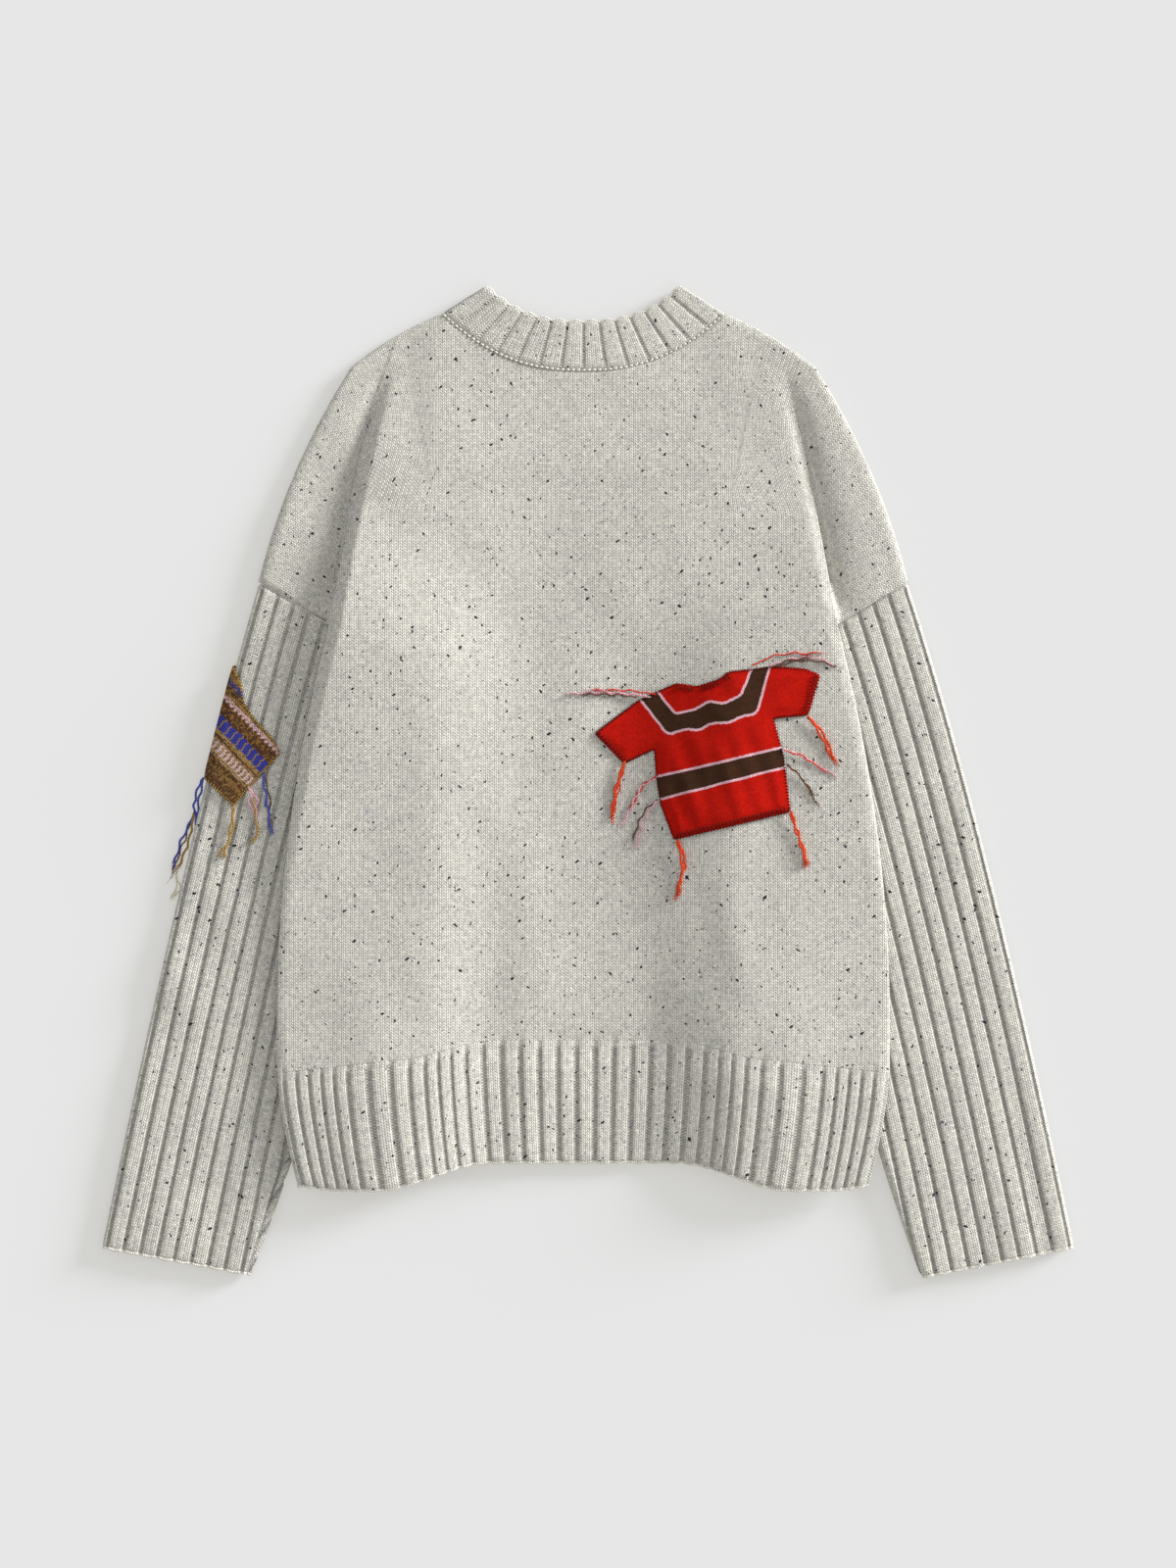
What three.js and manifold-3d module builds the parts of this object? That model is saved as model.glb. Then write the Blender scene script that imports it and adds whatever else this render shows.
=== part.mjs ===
// A darned wool sweater lying flat with its back upwards.
//
// It is a wide drop-shoulder pullover: a knitted back and front, each with a ribbed hem,
// sleeves ribbed from the armhole to the cuff, and a ribbed neckband. Two small knitted
// patches in the shape of a pullover are sewn on, with their yarn ends left loose: a red one
// on the back and a striped one over the outer edge of the left sleeve.
//
// Millimetres. +Z is up, +Y runs to the neck and +X to the wearer's right. The garment rests
// on z = 0, and the origin is under the middle of its outline.

import * as THREE from 'three';
import Module from 'manifold-3d';
import { mergeVertices } from 'three/addons/utils/BufferGeometryUtils.js';

const wasm = await Module();
wasm.setup();

// ---- Driving dimensions ----------------------------------------------------------------

const BODY_X = -3.5; // the body's centre line, a little left of the middle of the outline
const PANEL_WALL = 3.0; // plain knit of the back
const FRONT_WALL = 2.5; // plain knit of the front, pressed by what lies on it
const RIB_WALL = 3.6; // ribbed knit of hem and neckband
const SEAM_GAP = 0.4; // between pieces that are linked together
const LAYER_GAP = 0.4; // between cloth that lies on cloth
const RIM_WALL = 1.05; // half of a folded edge, where front and back meet
const RIM_PARTING = 0.3; // between the two halves of a folded edge
const EDGE_ROLL = 9; // width of the rounding at a folded edge

const BODY_HALF = 225; // half of the body's width as it lies
const ARMPIT = [186.5, 115.5]; // where body, arm and sleeve meet
const ARM_TIP = [239, 147]; // outer end of the armhole seam
const SHOULDER_BEND = [171, 305]; // where the shoulder line turns down over the arm
const NECK_END = [104, 344.5]; // fold of the neck seam at the shoulder
const BACK_NECK_Y = 302.5; // middle of the back neck seam
const FRONT_NECK_Y = 239.5; // middle of the front neck seam, under the back
const BAND_HALF = 72; // half width of the neckband along its free edge
const BAND_TOP = 365; // where the free edge of the band folds over
const BAND_BACK_Y = 338.7; // middle of the band's free edge, back half
const BAND_FRONT_Y = 275.5; // the same, front half
const RIB_LINE_Y = -190.5; // middle of the line where the hem rib starts
const HEM_Y = -280.5; // middle of the hem's edge
const HEM_CORNER = [209.5, -297.5]; // side end of the hem's edge
const RIB_CORNER_Y = -213.5; // side end of the line where the hem rib starts
const HEM_PULL = 0.5; // how much the hem rib draws the sides in
const SIDE_BEND_Y = -170; // where the sides begin to run in towards the armpits

// Soft folds of the lower back: where they run, their width and their height.
const FOLDS = [
  { x: -2, width: 26, height: 2.6 },
  { x: 112, width: 17, height: 1.6 },
  { x: -118, width: 20, height: 1.4 },
];
const FOLDS_END = [20, 110]; // the heights between which the folds die away
const LOBE = { x: 150, width: 34, height: 4.5 }; // bulge of the body over each half of the hem
const ARM_ROLL = { width: 42, height: 5.5 }; // roll of the body beside the arm
const SLACK = 0.6; // air between front and back where no fold lies

const LIFT = 9.9; // how high the front panel lies where sleeve and tucked sides are under it
const SLEEVE_HEIGHT = 9.4; // a sleeve's two layers
const SLEEVE_WALL = 4.0;
const CUFF_OUTER = [358.25, -342.5]; // outer corner of both cuffs
const CUFF_INNER = { left: [247, -363], right: [244.5, -365] };
const SLEEVE_HEAD = [130, 79]; // hidden upper corner of a sleeve, from the body's centre line
const SLEEVE_BEND = { outer: [294, -30], inner: [172, -165] }; // where a sleeve's edges bend
const PATCH_WALL = 1.8;
const PATCH_GAP = 0.35;
const TAIL_WIDTH = 2.2; // a bundle of yarn ends
const TAIL_GAP = 0.6; // between a bundle and the cloth it lies on

// ---- Small helpers ---------------------------------------------------------------------

const { clamp, lerp, smoothstep } = THREE.MathUtils;
const flat = ([x, y]) => new THREE.Vector2(x, y);
const bend = (...points) => new THREE.QuadraticBezierCurve(...points.map(flat));

/** Where a curve that falls or rises steadily in one coordinate reaches a value. */
function pointWhere(curve, axis, value) {
  let low = 0;
  let high = 1;
  const rising = curve.getPoint(1)[axis] > curve.getPoint(0)[axis];
  for (let step = 0; step < 30; step++) {
    const middle = (low + high) / 2;
    const short = curve.getPoint(middle)[axis] < value;
    if (short === rising) low = middle;
    else high = middle;
  }
  return curve.getPoint(low);
}

// ---- Outline of the body, measured from its own centre line ------------------------------

const shoulder = bend(SHOULDER_BEND, [139, 331], NECK_END);
const VALLEY_TOP = shoulder.getPoint(0.55);
const armEdge = bend(ARM_TIP, [219, 230], SHOULDER_BEND);
const valley = bend(ARMPIT, [164, 262], [VALLEY_TOP.x, VALLEY_TOP.y]);
const NECK_U = NECK_END[0] / VALLEY_TOP.x; // share of the half width that the neck takes
const ARMPIT_SHARE = (ARMPIT[1] - RIB_CORNER_Y) / (VALLEY_TOP.y - RIB_CORNER_Y);

const neckCurve = (middle, power) => (x) =>
  middle + (NECK_END[1] - middle) * Math.abs(x / NECK_END[0]) ** power;
const backNeck = neckCurve(BACK_NECK_Y, 2.4);
const frontNeck = neckCurve(FRONT_NECK_Y, 2.2);

/** Upper edge of a panel: its neck, then its shoulder. */
function upperEdge(x, neck) {
  const side = Math.abs(x);
  return side <= NECK_END[0] + 0.01 ? neck(x) : pointWhere(shoulder, 'x', side).y;
}

/** Half width of the body at a height: side edge, then the valley between body and arm. */
function halfWidth(y) {
  if (y > ARMPIT[1]) return pointWhere(valley, 'y', y).x;
  if (y < RIB_CORNER_Y) {
    const drop = (RIB_CORNER_Y - y) / (RIB_CORNER_Y - HEM_CORNER[1]);
    return BODY_HALF - HEM_PULL - (BODY_HALF - HEM_PULL - HEM_CORNER[0]) * drop ** 1.5;
  }
  const rise = clamp((y - SIDE_BEND_Y) / (ARMPIT[1] - SIDE_BEND_Y), 0, 1);
  return BODY_HALF - (BODY_HALF - ARMPIT[0]) * rise ** 1.9;
}

/** The sides of the body hang lower than its middle. */
function ribLine(x) {
  const side = Math.abs(x);
  return RIB_LINE_Y - 14 * smoothstep(side, 65, 140) - 9 * clamp((side - 140) / 82, 0, 1);
}

function hemLine(x) {
  const side = Math.abs(x);
  return HEM_Y - 19.5 * smoothstep(side, 70, 152) + 3 * smoothstep(side, 180, 212);
}

// ---- How high the cloth lies -------------------------------------------------------------

/** Line of the armhole seam, carried on under the body. */
const ARMHOLE_SLOPE = (ARM_TIP[1] - ARMPIT[1]) / (ARM_TIP[0] - ARMPIT[0]);
const armholeLine = (x) => ARM_TIP[1] - ARMHOLE_SLOPE * (ARM_TIP[0] - Math.abs(x));

/** 1 at the hem, 0 from the middle of the back upwards. */
const nearHem = (y) => 1 - smoothstep(y, -240, -60);

/** Rise of the front panel over the sleeve head and the tucked sides, steeper at the hem. */
function liftAt(x, y) {
  const line = armholeLine(x);
  const along = 1 - smoothstep(y, line + 30, line + 54);
  return LIFT * smoothstep(Math.abs(x), lerp(68, 84, nearHem(y)), 112) * along;
}

/** A rounded rise that runs along its own x. */
const ridge = (x, { x: middle, width, height }) =>
  height * Math.exp(-(((x - middle) / width) ** 2));

/** Air between front and back: soft folds, and the roll of the body beside the arm. */
function loftAt(x, y) {
  const side = Math.abs(x);
  const [full, gone] = FOLDS_END;
  const folds = FOLDS.map((fold) => ridge(x, fold)).reduce((sum, rise) => sum + rise);
  const belowBack = folds * (1 - smoothstep(y, full, gone));
  const overHem = ridge(side, LOBE) * nearHem(y);
  const neckRoom = smoothstep(y, 212, 236) * (1 - smoothstep(side, 106, 130));
  const inward = halfWidth(y) - side;
  const along = smoothstep(y, full, ARMPIT[1]) * (1 - smoothstep(y, ARMPIT[1] + 20, 300));
  const across = smoothstep(inward, 0, EDGE_ROLL);
  const besideArm = ridge(Math.max(0, inward - EDGE_ROLL), { x: 0, ...ARM_ROLL });
  return SLACK + belowBack + overHem + neckRoom + besideArm * along * across;
}

/** Share of the rounding at a folded edge: 0 inside, 1 on the edge itself. */
function rollAt(distance) {
  const near = clamp(1 - distance / EDGE_ROLL, 0, 1);
  return 1 - Math.sqrt(1 - near * near);
}

/** Heights of both walls: underside and top of the front, then of the back. */
function stackAt({ lift, loft, roll, frontWall, backWall }) {
  const frontTop = lift + frontWall;
  const backLow = frontTop + LAYER_GAP + loft;
  const backTop = backLow + backWall;
  const middle = (lift + backTop) / 2;
  const rimLow = middle - RIM_PARTING / 2;
  const rimHigh = middle + RIM_PARTING / 2;
  return {
    front: [lerp(lift, rimLow - RIM_WALL, roll), lerp(frontTop, rimLow, roll)],
    back: [lerp(backLow, rimHigh, roll), lerp(backTop, rimHigh + RIM_WALL, roll)],
  };
}

// ---- Lattices ----------------------------------------------------------------------------

const HALF_COLUMNS = [0, 0.15, 0.29, 0.38, 0.45, 0.53, 0.65, NECK_U, 0.86, 0.93, 0.97, 0.988, 1];
const COLUMNS = [...HALF_COLUMNS.slice(1).map((u) => -u).reverse(), ...HALF_COLUMNS];
const ARM_SHARES = [0.1, 0.3, 0.55, 0.8, 0.95, 1]; // from the valley to the arm's outer edge
const LOWER_ROWS = 11; // from the rib line to the armpit
const UPPER_SHARES = [0.09, 0.2, 0.34, 0.5, 0.66, 0.81, 0.92, 0.975, 1]; // armpit to shoulder
const HEM_ROWS = 3;

const point = (x, y, [low, high]) => ({ low: [x, y, low], high: [x, y, high] });

/** A point of the body between its side edges, u across and the given share upwards. */
function bodyPoint(u, share, upper, neck, layer) {
  const edgeY = upper ? lerp(ARMPIT[1], VALLEY_TOP.y, share) : lerp(RIB_CORNER_Y, ARMPIT[1], share);
  const x = u * halfWidth(edgeY);
  const bottom = ribLine(u * BODY_HALF);
  const armpitRow = lerp(bottom, upperEdge(u * VALLEY_TOP.x, backNeck), ARMPIT_SHARE);
  const top = upperEdge(u * VALLEY_TOP.x, neck);
  const y = upper ? lerp(armpitRow, top, share) : lerp(bottom, armpitRow, share);
  const onShoulder = Math.abs(u) >= NECK_U - 0.001;
  const sideRoll = upper ? 0 : rollAt(halfWidth(edgeY) - Math.abs(x));
  const topRoll = upper && onShoulder ? rollAt(top - y) : 0;
  const inValley = upper && share > 0.15 && Math.abs(u) === 1;
  const stack = stackAt({
    lift: inValley ? 0 : liftAt(x, y),
    loft: loftAt(x, y),
    roll: Math.max(sideRoll, topRoll),
    frontWall: FRONT_WALL,
    backWall: PANEL_WALL,
  });
  return point(x + BODY_X, y, stack[layer]);
}

/** A point of the arm, from the valley out to the folded edge. */
function armPoint(side, across, share, layer) {
  const edgeY = lerp(ARMPIT[1], VALLEY_TOP.y, share);
  const inner = pointWhere(valley, 'y', edgeY);
  const outer = armEdge.getPoint(share);
  const width = inner.distanceTo(outer);
  const onCurve = share === 1 ? shoulder.getPoint(0.55 * (1 - across)) : inner.lerp(outer, across);
  const topDistance = (1 - share) * (VALLEY_TOP.y - ARMPIT[1]);
  const stack = stackAt({
    lift: 0,
    loft: lerp(3.4, 0.9, smoothstep(share, 0, 0.8)),
    roll: Math.max(rollAt((1 - across) * width), rollAt(topDistance)),
    frontWall: FRONT_WALL,
    backWall: PANEL_WALL,
  });
  return point(side * onCurve.x + BODY_X, onCurve.y, stack[layer]);
}

/** Back or front as rows of points; the arms have points only above the armpit. */
function panelGrid(neck, layer) {
  const rows = [];
  for (let row = 0; row < LOWER_ROWS; row++) {
    const body = COLUMNS.map((u) => bodyPoint(u, row / LOWER_ROWS, false, neck, layer));
    const none = ARM_SHARES.map(() => null);
    rows.push([...none, ...body, ...none]);
  }
  for (const share of [0, ...UPPER_SHARES]) {
    const body = COLUMNS.map((u) => bodyPoint(u, share, true, neck, layer));
    const left = ARM_SHARES.map((across) => armPoint(-1, across, share, layer)).reverse();
    const right = ARM_SHARES.map((across) => armPoint(1, across, share, layer));
    rows.push([...left, ...body, ...right]);
  }
  return rows;
}

/** A hem rib under the rib line. */
function hemGrid(layer) {
  const rows = [];
  for (let row = 0; row <= HEM_ROWS; row++) {
    const share = row / HEM_ROWS;
    rows.push(
      COLUMNS.map((u) => {
        const edgeY = lerp(HEM_CORNER[1], RIB_CORNER_Y - SEAM_GAP, share);
        const x = u * halfWidth(edgeY);
        const y = lerp(hemLine(x), ribLine(u * BODY_HALF) - SEAM_GAP, share);
        const stack = stackAt({
          lift: liftAt(x, y),
          loft: loftAt(x, y),
          roll: rollAt(halfWidth(edgeY) - Math.abs(x)),
          frontWall: RIB_WALL,
          backWall: RIB_WALL,
        });
        return point(x + BODY_X, y, stack[layer]);
      }),
    );
  }
  return rows;
}

// ---- Solids from lattices ------------------------------------------------------------------

function geometryOf(positions, faces) {
  const geometry = new THREE.BufferGeometry();
  geometry.setAttribute('position', new THREE.Float32BufferAttribute(positions.flat(), 3));
  geometry.setIndex(faces.flat());
  return geometry;
}

/** A closed wall between the low and high points of a lattice, whose gaps stay open. */
function wallOf(grid) {
  const positions = [];
  const number = new Map();
  for (const vertex of grid.flat()) {
    if (!vertex) continue;
    number.set(vertex, positions.length);
    positions.push(vertex.low, vertex.high);
  }
  const faces = [];
  const edges = new Map();
  for (let row = 0; row + 1 < grid.length; row++) {
    for (let column = 0; column + 1 < grid[row].length; column++) {
      const ring = [
        grid[row][column],
        grid[row][column + 1],
        grid[row + 1][column + 1],
        grid[row + 1][column],
      ];
      if (ring.includes(null)) continue;
      const [a, b, c, d] = ring.map((vertex) => number.get(vertex));
      faces.push([a + 1, b + 1, c + 1], [a + 1, c + 1, d + 1], [a, c, b], [a, d, c]);
      for (const [from, to] of [[a, b], [b, c], [c, d], [d, a]]) {
        if (!edges.delete(`${to},${from}`)) edges.set(`${from},${to}`, [from, to]);
      }
    }
  }
  for (const [from, to] of edges.values()) {
    faces.push([from + 1, from, to], [from + 1, to, to + 1]);
  }
  return geometryOf(positions, faces);
}

/** A tube wall, open at both ends, between outer and inner rings. */
function tubeOf(outer, inner, mirrored) {
  const count = outer[0].length;
  const stations = outer.length;
  const positions = [...outer.flat(), ...inner.flat()];
  const at = (layer, ring, k) => (layer * stations + ring) * count + (k % count);
  const faces = [];
  const corners = (layer, ring, k) => [
    at(layer, ring, k),
    at(layer, ring, k + 1),
    at(layer, ring + 1, k + 1),
    at(layer, ring + 1, k),
  ];
  for (let ring = 0; ring + 1 < stations; ring++) {
    for (let k = 0; k < count; k++) {
      const [a, b, c, d] = corners(0, ring, k);
      const [e, f, g, h] = corners(1, ring, k);
      faces.push([a, b, c], [a, c, d], [e, g, f], [e, h, g]);
    }
  }
  for (let k = 0; k < count; k++) {
    const [a, b, c, d] = [at(0, 0, k), at(0, 0, k + 1), at(1, 0, k + 1), at(1, 0, k)];
    faces.push([a, c, b], [a, d, c]);
    const last = stations - 1;
    const [e, f, g, h] = [at(0, last, k), at(0, last, k + 1), at(1, last, k + 1), at(1, last, k)];
    faces.push([e, f, g], [e, g, h]);
  }
  return geometryOf(positions, mirrored ? faces.map((face) => face.reverse()) : faces);
}

// ---- Sleeves -------------------------------------------------------------------------------

const RING_SHARES = [0.01, 0.03, 0.07, 0.17, 0.3, 0.45, 0.6, 0.75, 0.88, 0.955, 0.985];
const SLEEVE_STATIONS = 13;

/** Outer and inner edges of a sleeve as it lies. */
function sleeveEdges(name) {
  const side = name === 'left' ? -1 : 1;
  const head = [side * ARM_TIP[0] + BODY_X, ARM_TIP[1] - SEAM_GAP];
  const hidden = [side * SLEEVE_HEAD[0] + BODY_X, armholeLine(SLEEVE_HEAD[0]) - SEAM_GAP];
  const cuffOuter = [side * CUFF_OUTER[0], CUFF_OUTER[1]];
  const cuffInner = [side * CUFF_INNER[name][0], CUFF_INNER[name][1]];
  return {
    outer: bend(head, [side * SLEEVE_BEND.outer[0], SLEEVE_BEND.outer[1]], cuffOuter),
    inner: bend(hidden, [side * SLEEVE_BEND.inner[0], SLEEVE_BEND.inner[1]], cuffInner),
  };
}

/** One flattened ring: over the top from the outer to the inner edge, and back underneath. */
function sleeveRing(edges, station, inset, height) {
  const outer = edges.outer.getPoint(station);
  const inner = edges.inner.getPoint(station);
  const width = outer.distanceTo(inner);
  const middle = SLEEVE_HEIGHT / 2;
  const at = (share, face) => {
    const across = inset + (width - 2 * inset) * share;
    const near = Math.min(across, width - across) - inset;
    const rounding = 1 - rollAt(near * (EDGE_ROLL / (EDGE_ROLL - inset)));
    const plan = outer.clone().lerp(inner, across / width);
    return [plan.x, plan.y, middle + (face * height * rounding) / 2];
  };
  const over = RING_SHARES.map((share) => at(share, 1));
  const under = RING_SHARES.map((share) => at(share, -1)).reverse();
  return [at(0, 0), ...over, at(1, 0), ...under];
}

function sleeveRings(name, inset, height) {
  const edges = sleeveEdges(name);
  const rings = [];
  for (let station = 0; station <= SLEEVE_STATIONS; station++) {
    const ring = sleeveRing(edges, station / SLEEVE_STATIONS, inset, height);
    rings.push(ring);
  }
  return rings;
}

function sleeve(name) {
  const outer = sleeveRings(name, 0, SLEEVE_HEIGHT);
  const inner = sleeveRings(name, SLEEVE_WALL, SLEEVE_HEIGHT - 2 * SLEEVE_WALL);
  return tubeOf(outer, inner, name === 'left');
}

// ---- Neckband ------------------------------------------------------------------------------

const BAND_BACK = [4.1, 7.7]; // inner and outer face of the back half
const BAND_FRONT = [3.4, 0]; // inner and outer face of the front half
const BAND_TURN = [30, 60, 90, 120, 150]; // degrees round the fold at the shoulder

/** A curve of the panel's neck as the panel's own columns sample it. */
function sampled(neck) {
  const xs = COLUMNS.filter((u) => Math.abs(u) <= NECK_U).map((u) => u * VALLEY_TOP.x);
  return (x) => {
    const next = clamp(xs.findIndex((column) => column >= x - 1e-6), 1, xs.length - 1);
    const share = (x - xs[next - 1]) / (xs[next] - xs[next - 1]);
    return lerp(neck(xs[next - 1]), neck(xs[next]), share) + SEAM_GAP;
  };
}

const bandEdge = (middle, power) => (x) =>
  middle + (BAND_TOP - middle) * Math.abs(x / BAND_HALF) ** power;

/** The band's loop as rings of four: outer and inner face at the seam and at the free edge. */
function neckband() {
  const seams = { back: sampled(backNeck), front: sampled(frontNeck) };
  const frees = { back: bandEdge(BAND_BACK_Y, 2.6), front: bandEdge(BAND_FRONT_Y, 2.2) };
  const place = (half, seamX, freeX, outerZ, innerZ, inward = 0) => {
    const shift = -Math.sign(seamX) * inward;
    const seamY = seams[half](seamX);
    const seamInnerY = Math.max(seamY, seams[half](seamX + shift));
    return [
      [seamX + BODY_X, seamY, outerZ],
      [freeX + BODY_X, frees[half](freeX), outerZ],
      [freeX + shift + BODY_X, frees[half](freeX) - inward, innerZ],
      [seamX + shift + BODY_X, seamInnerY, innerZ],
    ];
  };
  const radius = BAND_BACK[1] / 2;
  const turn = (side, degrees) => {
    const angle = THREE.MathUtils.degToRad(degrees);
    const out = radius * (1 - Math.sin(angle));
    const thin = Math.sin(angle) * (radius - 0.5);
    const outerZ = radius * (1 + Math.cos(angle));
    const innerZ = radius + Math.cos(angle) * lerp(0.35, 0.5, Math.sin(angle));
    const half = degrees <= 90 ? 'back' : 'front';
    return place(half, side * (NECK_END[0] - out), side * (BAND_HALF - out), outerZ, innerZ, thin);
  };
  const inside = COLUMNS.filter((u) => Math.abs(u) < NECK_U - 0.01).map((u) => u / NECK_U);
  const straight = (half, [innerZ, outerZ]) =>
    inside.map((u) => place(half, u * NECK_END[0], u * BAND_HALF, outerZ, innerZ));
  return [
    ...straight('back', BAND_BACK),
    ...BAND_TURN.map((degrees) => turn(1, degrees)),
    ...straight('front', BAND_FRONT).reverse(),
    ...BAND_TURN.map((degrees) => turn(-1, degrees)).reverse(),
  ];
}

/** A closed loop of four-sided rings. */
function loopOf(rings) {
  const count = rings[0].length;
  const at = (ring, k) => (ring % rings.length) * count + (k % count);
  const faces = [];
  rings.forEach((_, ring) => {
    for (let k = 0; k < count; k++) {
      const [a, b, c, d] = [at(ring, k), at(ring + 1, k), at(ring + 1, k + 1), at(ring, k + 1)];
      faces.push([a, b, c], [a, c, d]);
    }
  });
  return geometryOf(rings.flat(), faces);
}

// ---- Tucked sides --------------------------------------------------------------------------

const TUCK_INNER = 114; // how near the body's middle the folded-under side reaches
const TUCK_ENDS = [-284, 30]; // its lower and upper end
const TUCK_HEIGHT = 8.8;
const TUCK_ROUND = 1.6; // how far its edges are rounded, above and below
const SLEEVE_CLEARANCE = 5; // between the folded-under side and the sleeve's inner edge
const EDGE_CLEARANCE = 8; // between it and the body's own folded edge
const TUCK_ROWS = 8;
const TUCK_SHARES = [0, 0.06, 0.2, 0.5, 0.8, 0.94, 1];

/** The side of the body that is folded under, beside the sleeve, as one rounded solid. */
function tuckedSide(name) {
  const side = name === 'left' ? -1 : 1;
  const { inner } = sleeveEdges(name);
  const rows = [];
  for (let row = 0; row <= TUCK_ROWS; row++) {
    const y = lerp(TUCK_ENDS[0], TUCK_ENDS[1], row / TUCK_ROWS);
    const far = Math.abs(pointWhere(inner, 'y', y).x - BODY_X) - SLEEVE_CLEARANCE;
    const reach = Math.min(far, halfWidth(y) - EDGE_CLEARANCE) - TUCK_INNER;
    const columns = TUCK_SHARES.map((share) => {
      const x = side * (TUCK_INNER + reach * share) + BODY_X;
      const near = Math.min(share, 1 - share) * reach;
      const end = TUCK_ROUND * rollAt(near * 1.6);
      return point(x, y, [end, TUCK_HEIGHT - 2 * end]);
    });
    rows.push(side > 0 ? columns : columns.reverse());
  }
  return wallOf(rows);
}

// ---- Patches -------------------------------------------------------------------------------

function manifoldOf(geometry) {
  const bare = new THREE.BufferGeometry();
  bare.setAttribute('position', geometry.getAttribute('position'));
  if (geometry.index) bare.setIndex(geometry.index);
  const merged = mergeVertices(bare, 1e-4);
  const vertProperties = new Float32Array(merged.getAttribute('position').array);
  const triVerts = new Uint32Array(merged.index.array);
  return new wasm.Manifold(new wasm.Mesh({ numProp: 3, vertProperties, triVerts }));
}

function geometryFrom(solid) {
  const { vertProperties, triVerts } = solid.getMesh();
  const geometry = new THREE.BufferGeometry();
  geometry.setAttribute('position', new THREE.BufferAttribute(vertProperties, 3));
  geometry.setIndex(new THREE.BufferAttribute(triVerts, 1));
  return geometry;
}

/** The part of a wall that lies inside an upright outline. */
function cutOut(wall, outline, bottom, top) {
  const prism = new THREE.ExtrudeGeometry(outline, { depth: top - bottom, bevelEnabled: false });
  prism.translate(0, 0, bottom);
  return geometryFrom(manifoldOf(wall).intersect(manifoldOf(prism)));
}

const RED_PATCH = { x: 97, y: 21, turn: 12.5 };

/** Puts a patch's own coordinates in place on the garment. */
function placed({ x, y, turn }, points) {
  const middle = new THREE.Vector2();
  const angle = THREE.MathUtils.degToRad(turn);
  return points.map((p) => flat(p).rotateAround(middle, angle).add(flat([x, y])));
}

/** A little pullover: hem, sides, short sleeves and a scooped neck. */
const redOutline = new THREE.Shape(
  placed(RED_PATCH, [
    [-47, -55], [41, -53.5], [45, -12], [43.5, 16], [69, 13], [84, 40], [74, 47], [50, 54],
    [35, 55], [19, 57], [11, 53], [-6, 51.5], [-20, 57], [-36, 54], [-51, 50.5], [-87, 34],
    [-70.5, 7.5], [-46.5, 13], [-49.5, -6], [-51, -27],
  ]),
);

/** The same kind of pullover, folded over the sleeve's edge so that one half shows. */
const stripedOutline = new THREE.Shape([
  [-259, 85], [-255, 72], [-253, 58], [-247, 48.5], [-232, 32], [-226, 21], [-239, 6],
  [-250, -5.5], [-260.5, -18.5], [-300, -8], [-300, 85],
].map(flat));

function redPatch(backGrid) {
  const raised = backGrid.map((row) =>
    row.map((vertex) => {
      if (!vertex || Math.abs(vertex.high[0] - RED_PATCH.x) > 125) return null;
      if (Math.abs(vertex.high[1] - RED_PATCH.y) > 110) return null;
      const [x, y, z] = vertex.high;
      return point(x, y, [z + PATCH_GAP, z + PATCH_GAP + PATCH_WALL]);
    }),
  );
  return cutOut(wallOf(raised), redOutline, 0, 60);
}

/** A ring moved out from its own section by a distance. */
function outwards(ring, distance) {
  return ring.map((p, k) => {
    const before = ring[(k + ring.length - 1) % ring.length];
    const after = ring[(k + 1) % ring.length];
    const along = Math.hypot(after[0] - before[0], after[1] - before[1]);
    const direction = Math.sign(after[0] - before[0]) || 1;
    const rise = after[2] - before[2];
    const size = Math.hypot(along, rise);
    return [p[0] - (distance * rise) / size, p[1], p[2] + (distance * along * direction) / size];
  });
}

function stripedPatch() {
  const rings = sleeveRings('left', 0, SLEEVE_HEIGHT).slice(1, 8);
  const count = rings[0].length;
  const strip = [count - 1, 0, 1, 2, 3, 4, 5, 6];
  const rows = rings.map((ring) => {
    const low = outwards(ring, PATCH_GAP);
    const high = outwards(ring, PATCH_GAP + PATCH_WALL);
    return strip.map((k) => ({ low: low[k], high: high[k] }));
  });
  return cutOut(wallOf(rows.reverse()), stripedOutline, 0.4, 60);
}

// ---- Yarn ends -----------------------------------------------------------------------------

/** Height of a mesh's upper face over a place. */
function topOf(mesh, x, y) {
  const down = new THREE.Raycaster(new THREE.Vector3(x, y, 100), new THREE.Vector3(0, 0, -1));
  return down.intersectObject(mesh)[0].point.z;
}

const RED_TAILS = {
  collar_left: [[44, 66], [20, 68], [-6, 65]],
  collar_right: [[126, 87], [148, 93], [176, 90]],
  left_cuff: [[25, 13], [20, -6], [16, -30]],
  left_side: [[46, 0], [36, -12], [24, -34]],
  left_hem: [[64, -47], [69, -62], [63, -86]],
  right_cuff: [[164, 46], [174, 34], [183, 13]],
  right_side: [[149, 21], [163, 12], [178, 1]],
  right_hem: [[152, -25], [158, -44], [159, -63]],
};

const STRIPED_TAILS = {
  outer_corner: [[-285.5, 1, 6], [-290, -19, 3.4], [-296, -38, 2]],
  outer_long: [[-298, -44, 2], [-303, -57, 1.6], [-310, -72, 1.5]],
  hem_middle: [[-262, -24, 11.6], [-265, -42, 11.6], [-269, -57, 11.6]],
  hem_inner: [[-248, -8, 11.6], [-245, -27, 11.6], [-246, -45, 11.6]],
  inner_corner: [[-236, 2, 11.6], [-235, -18, 11.6], [-232, -38, 11.6]],
};

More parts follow.
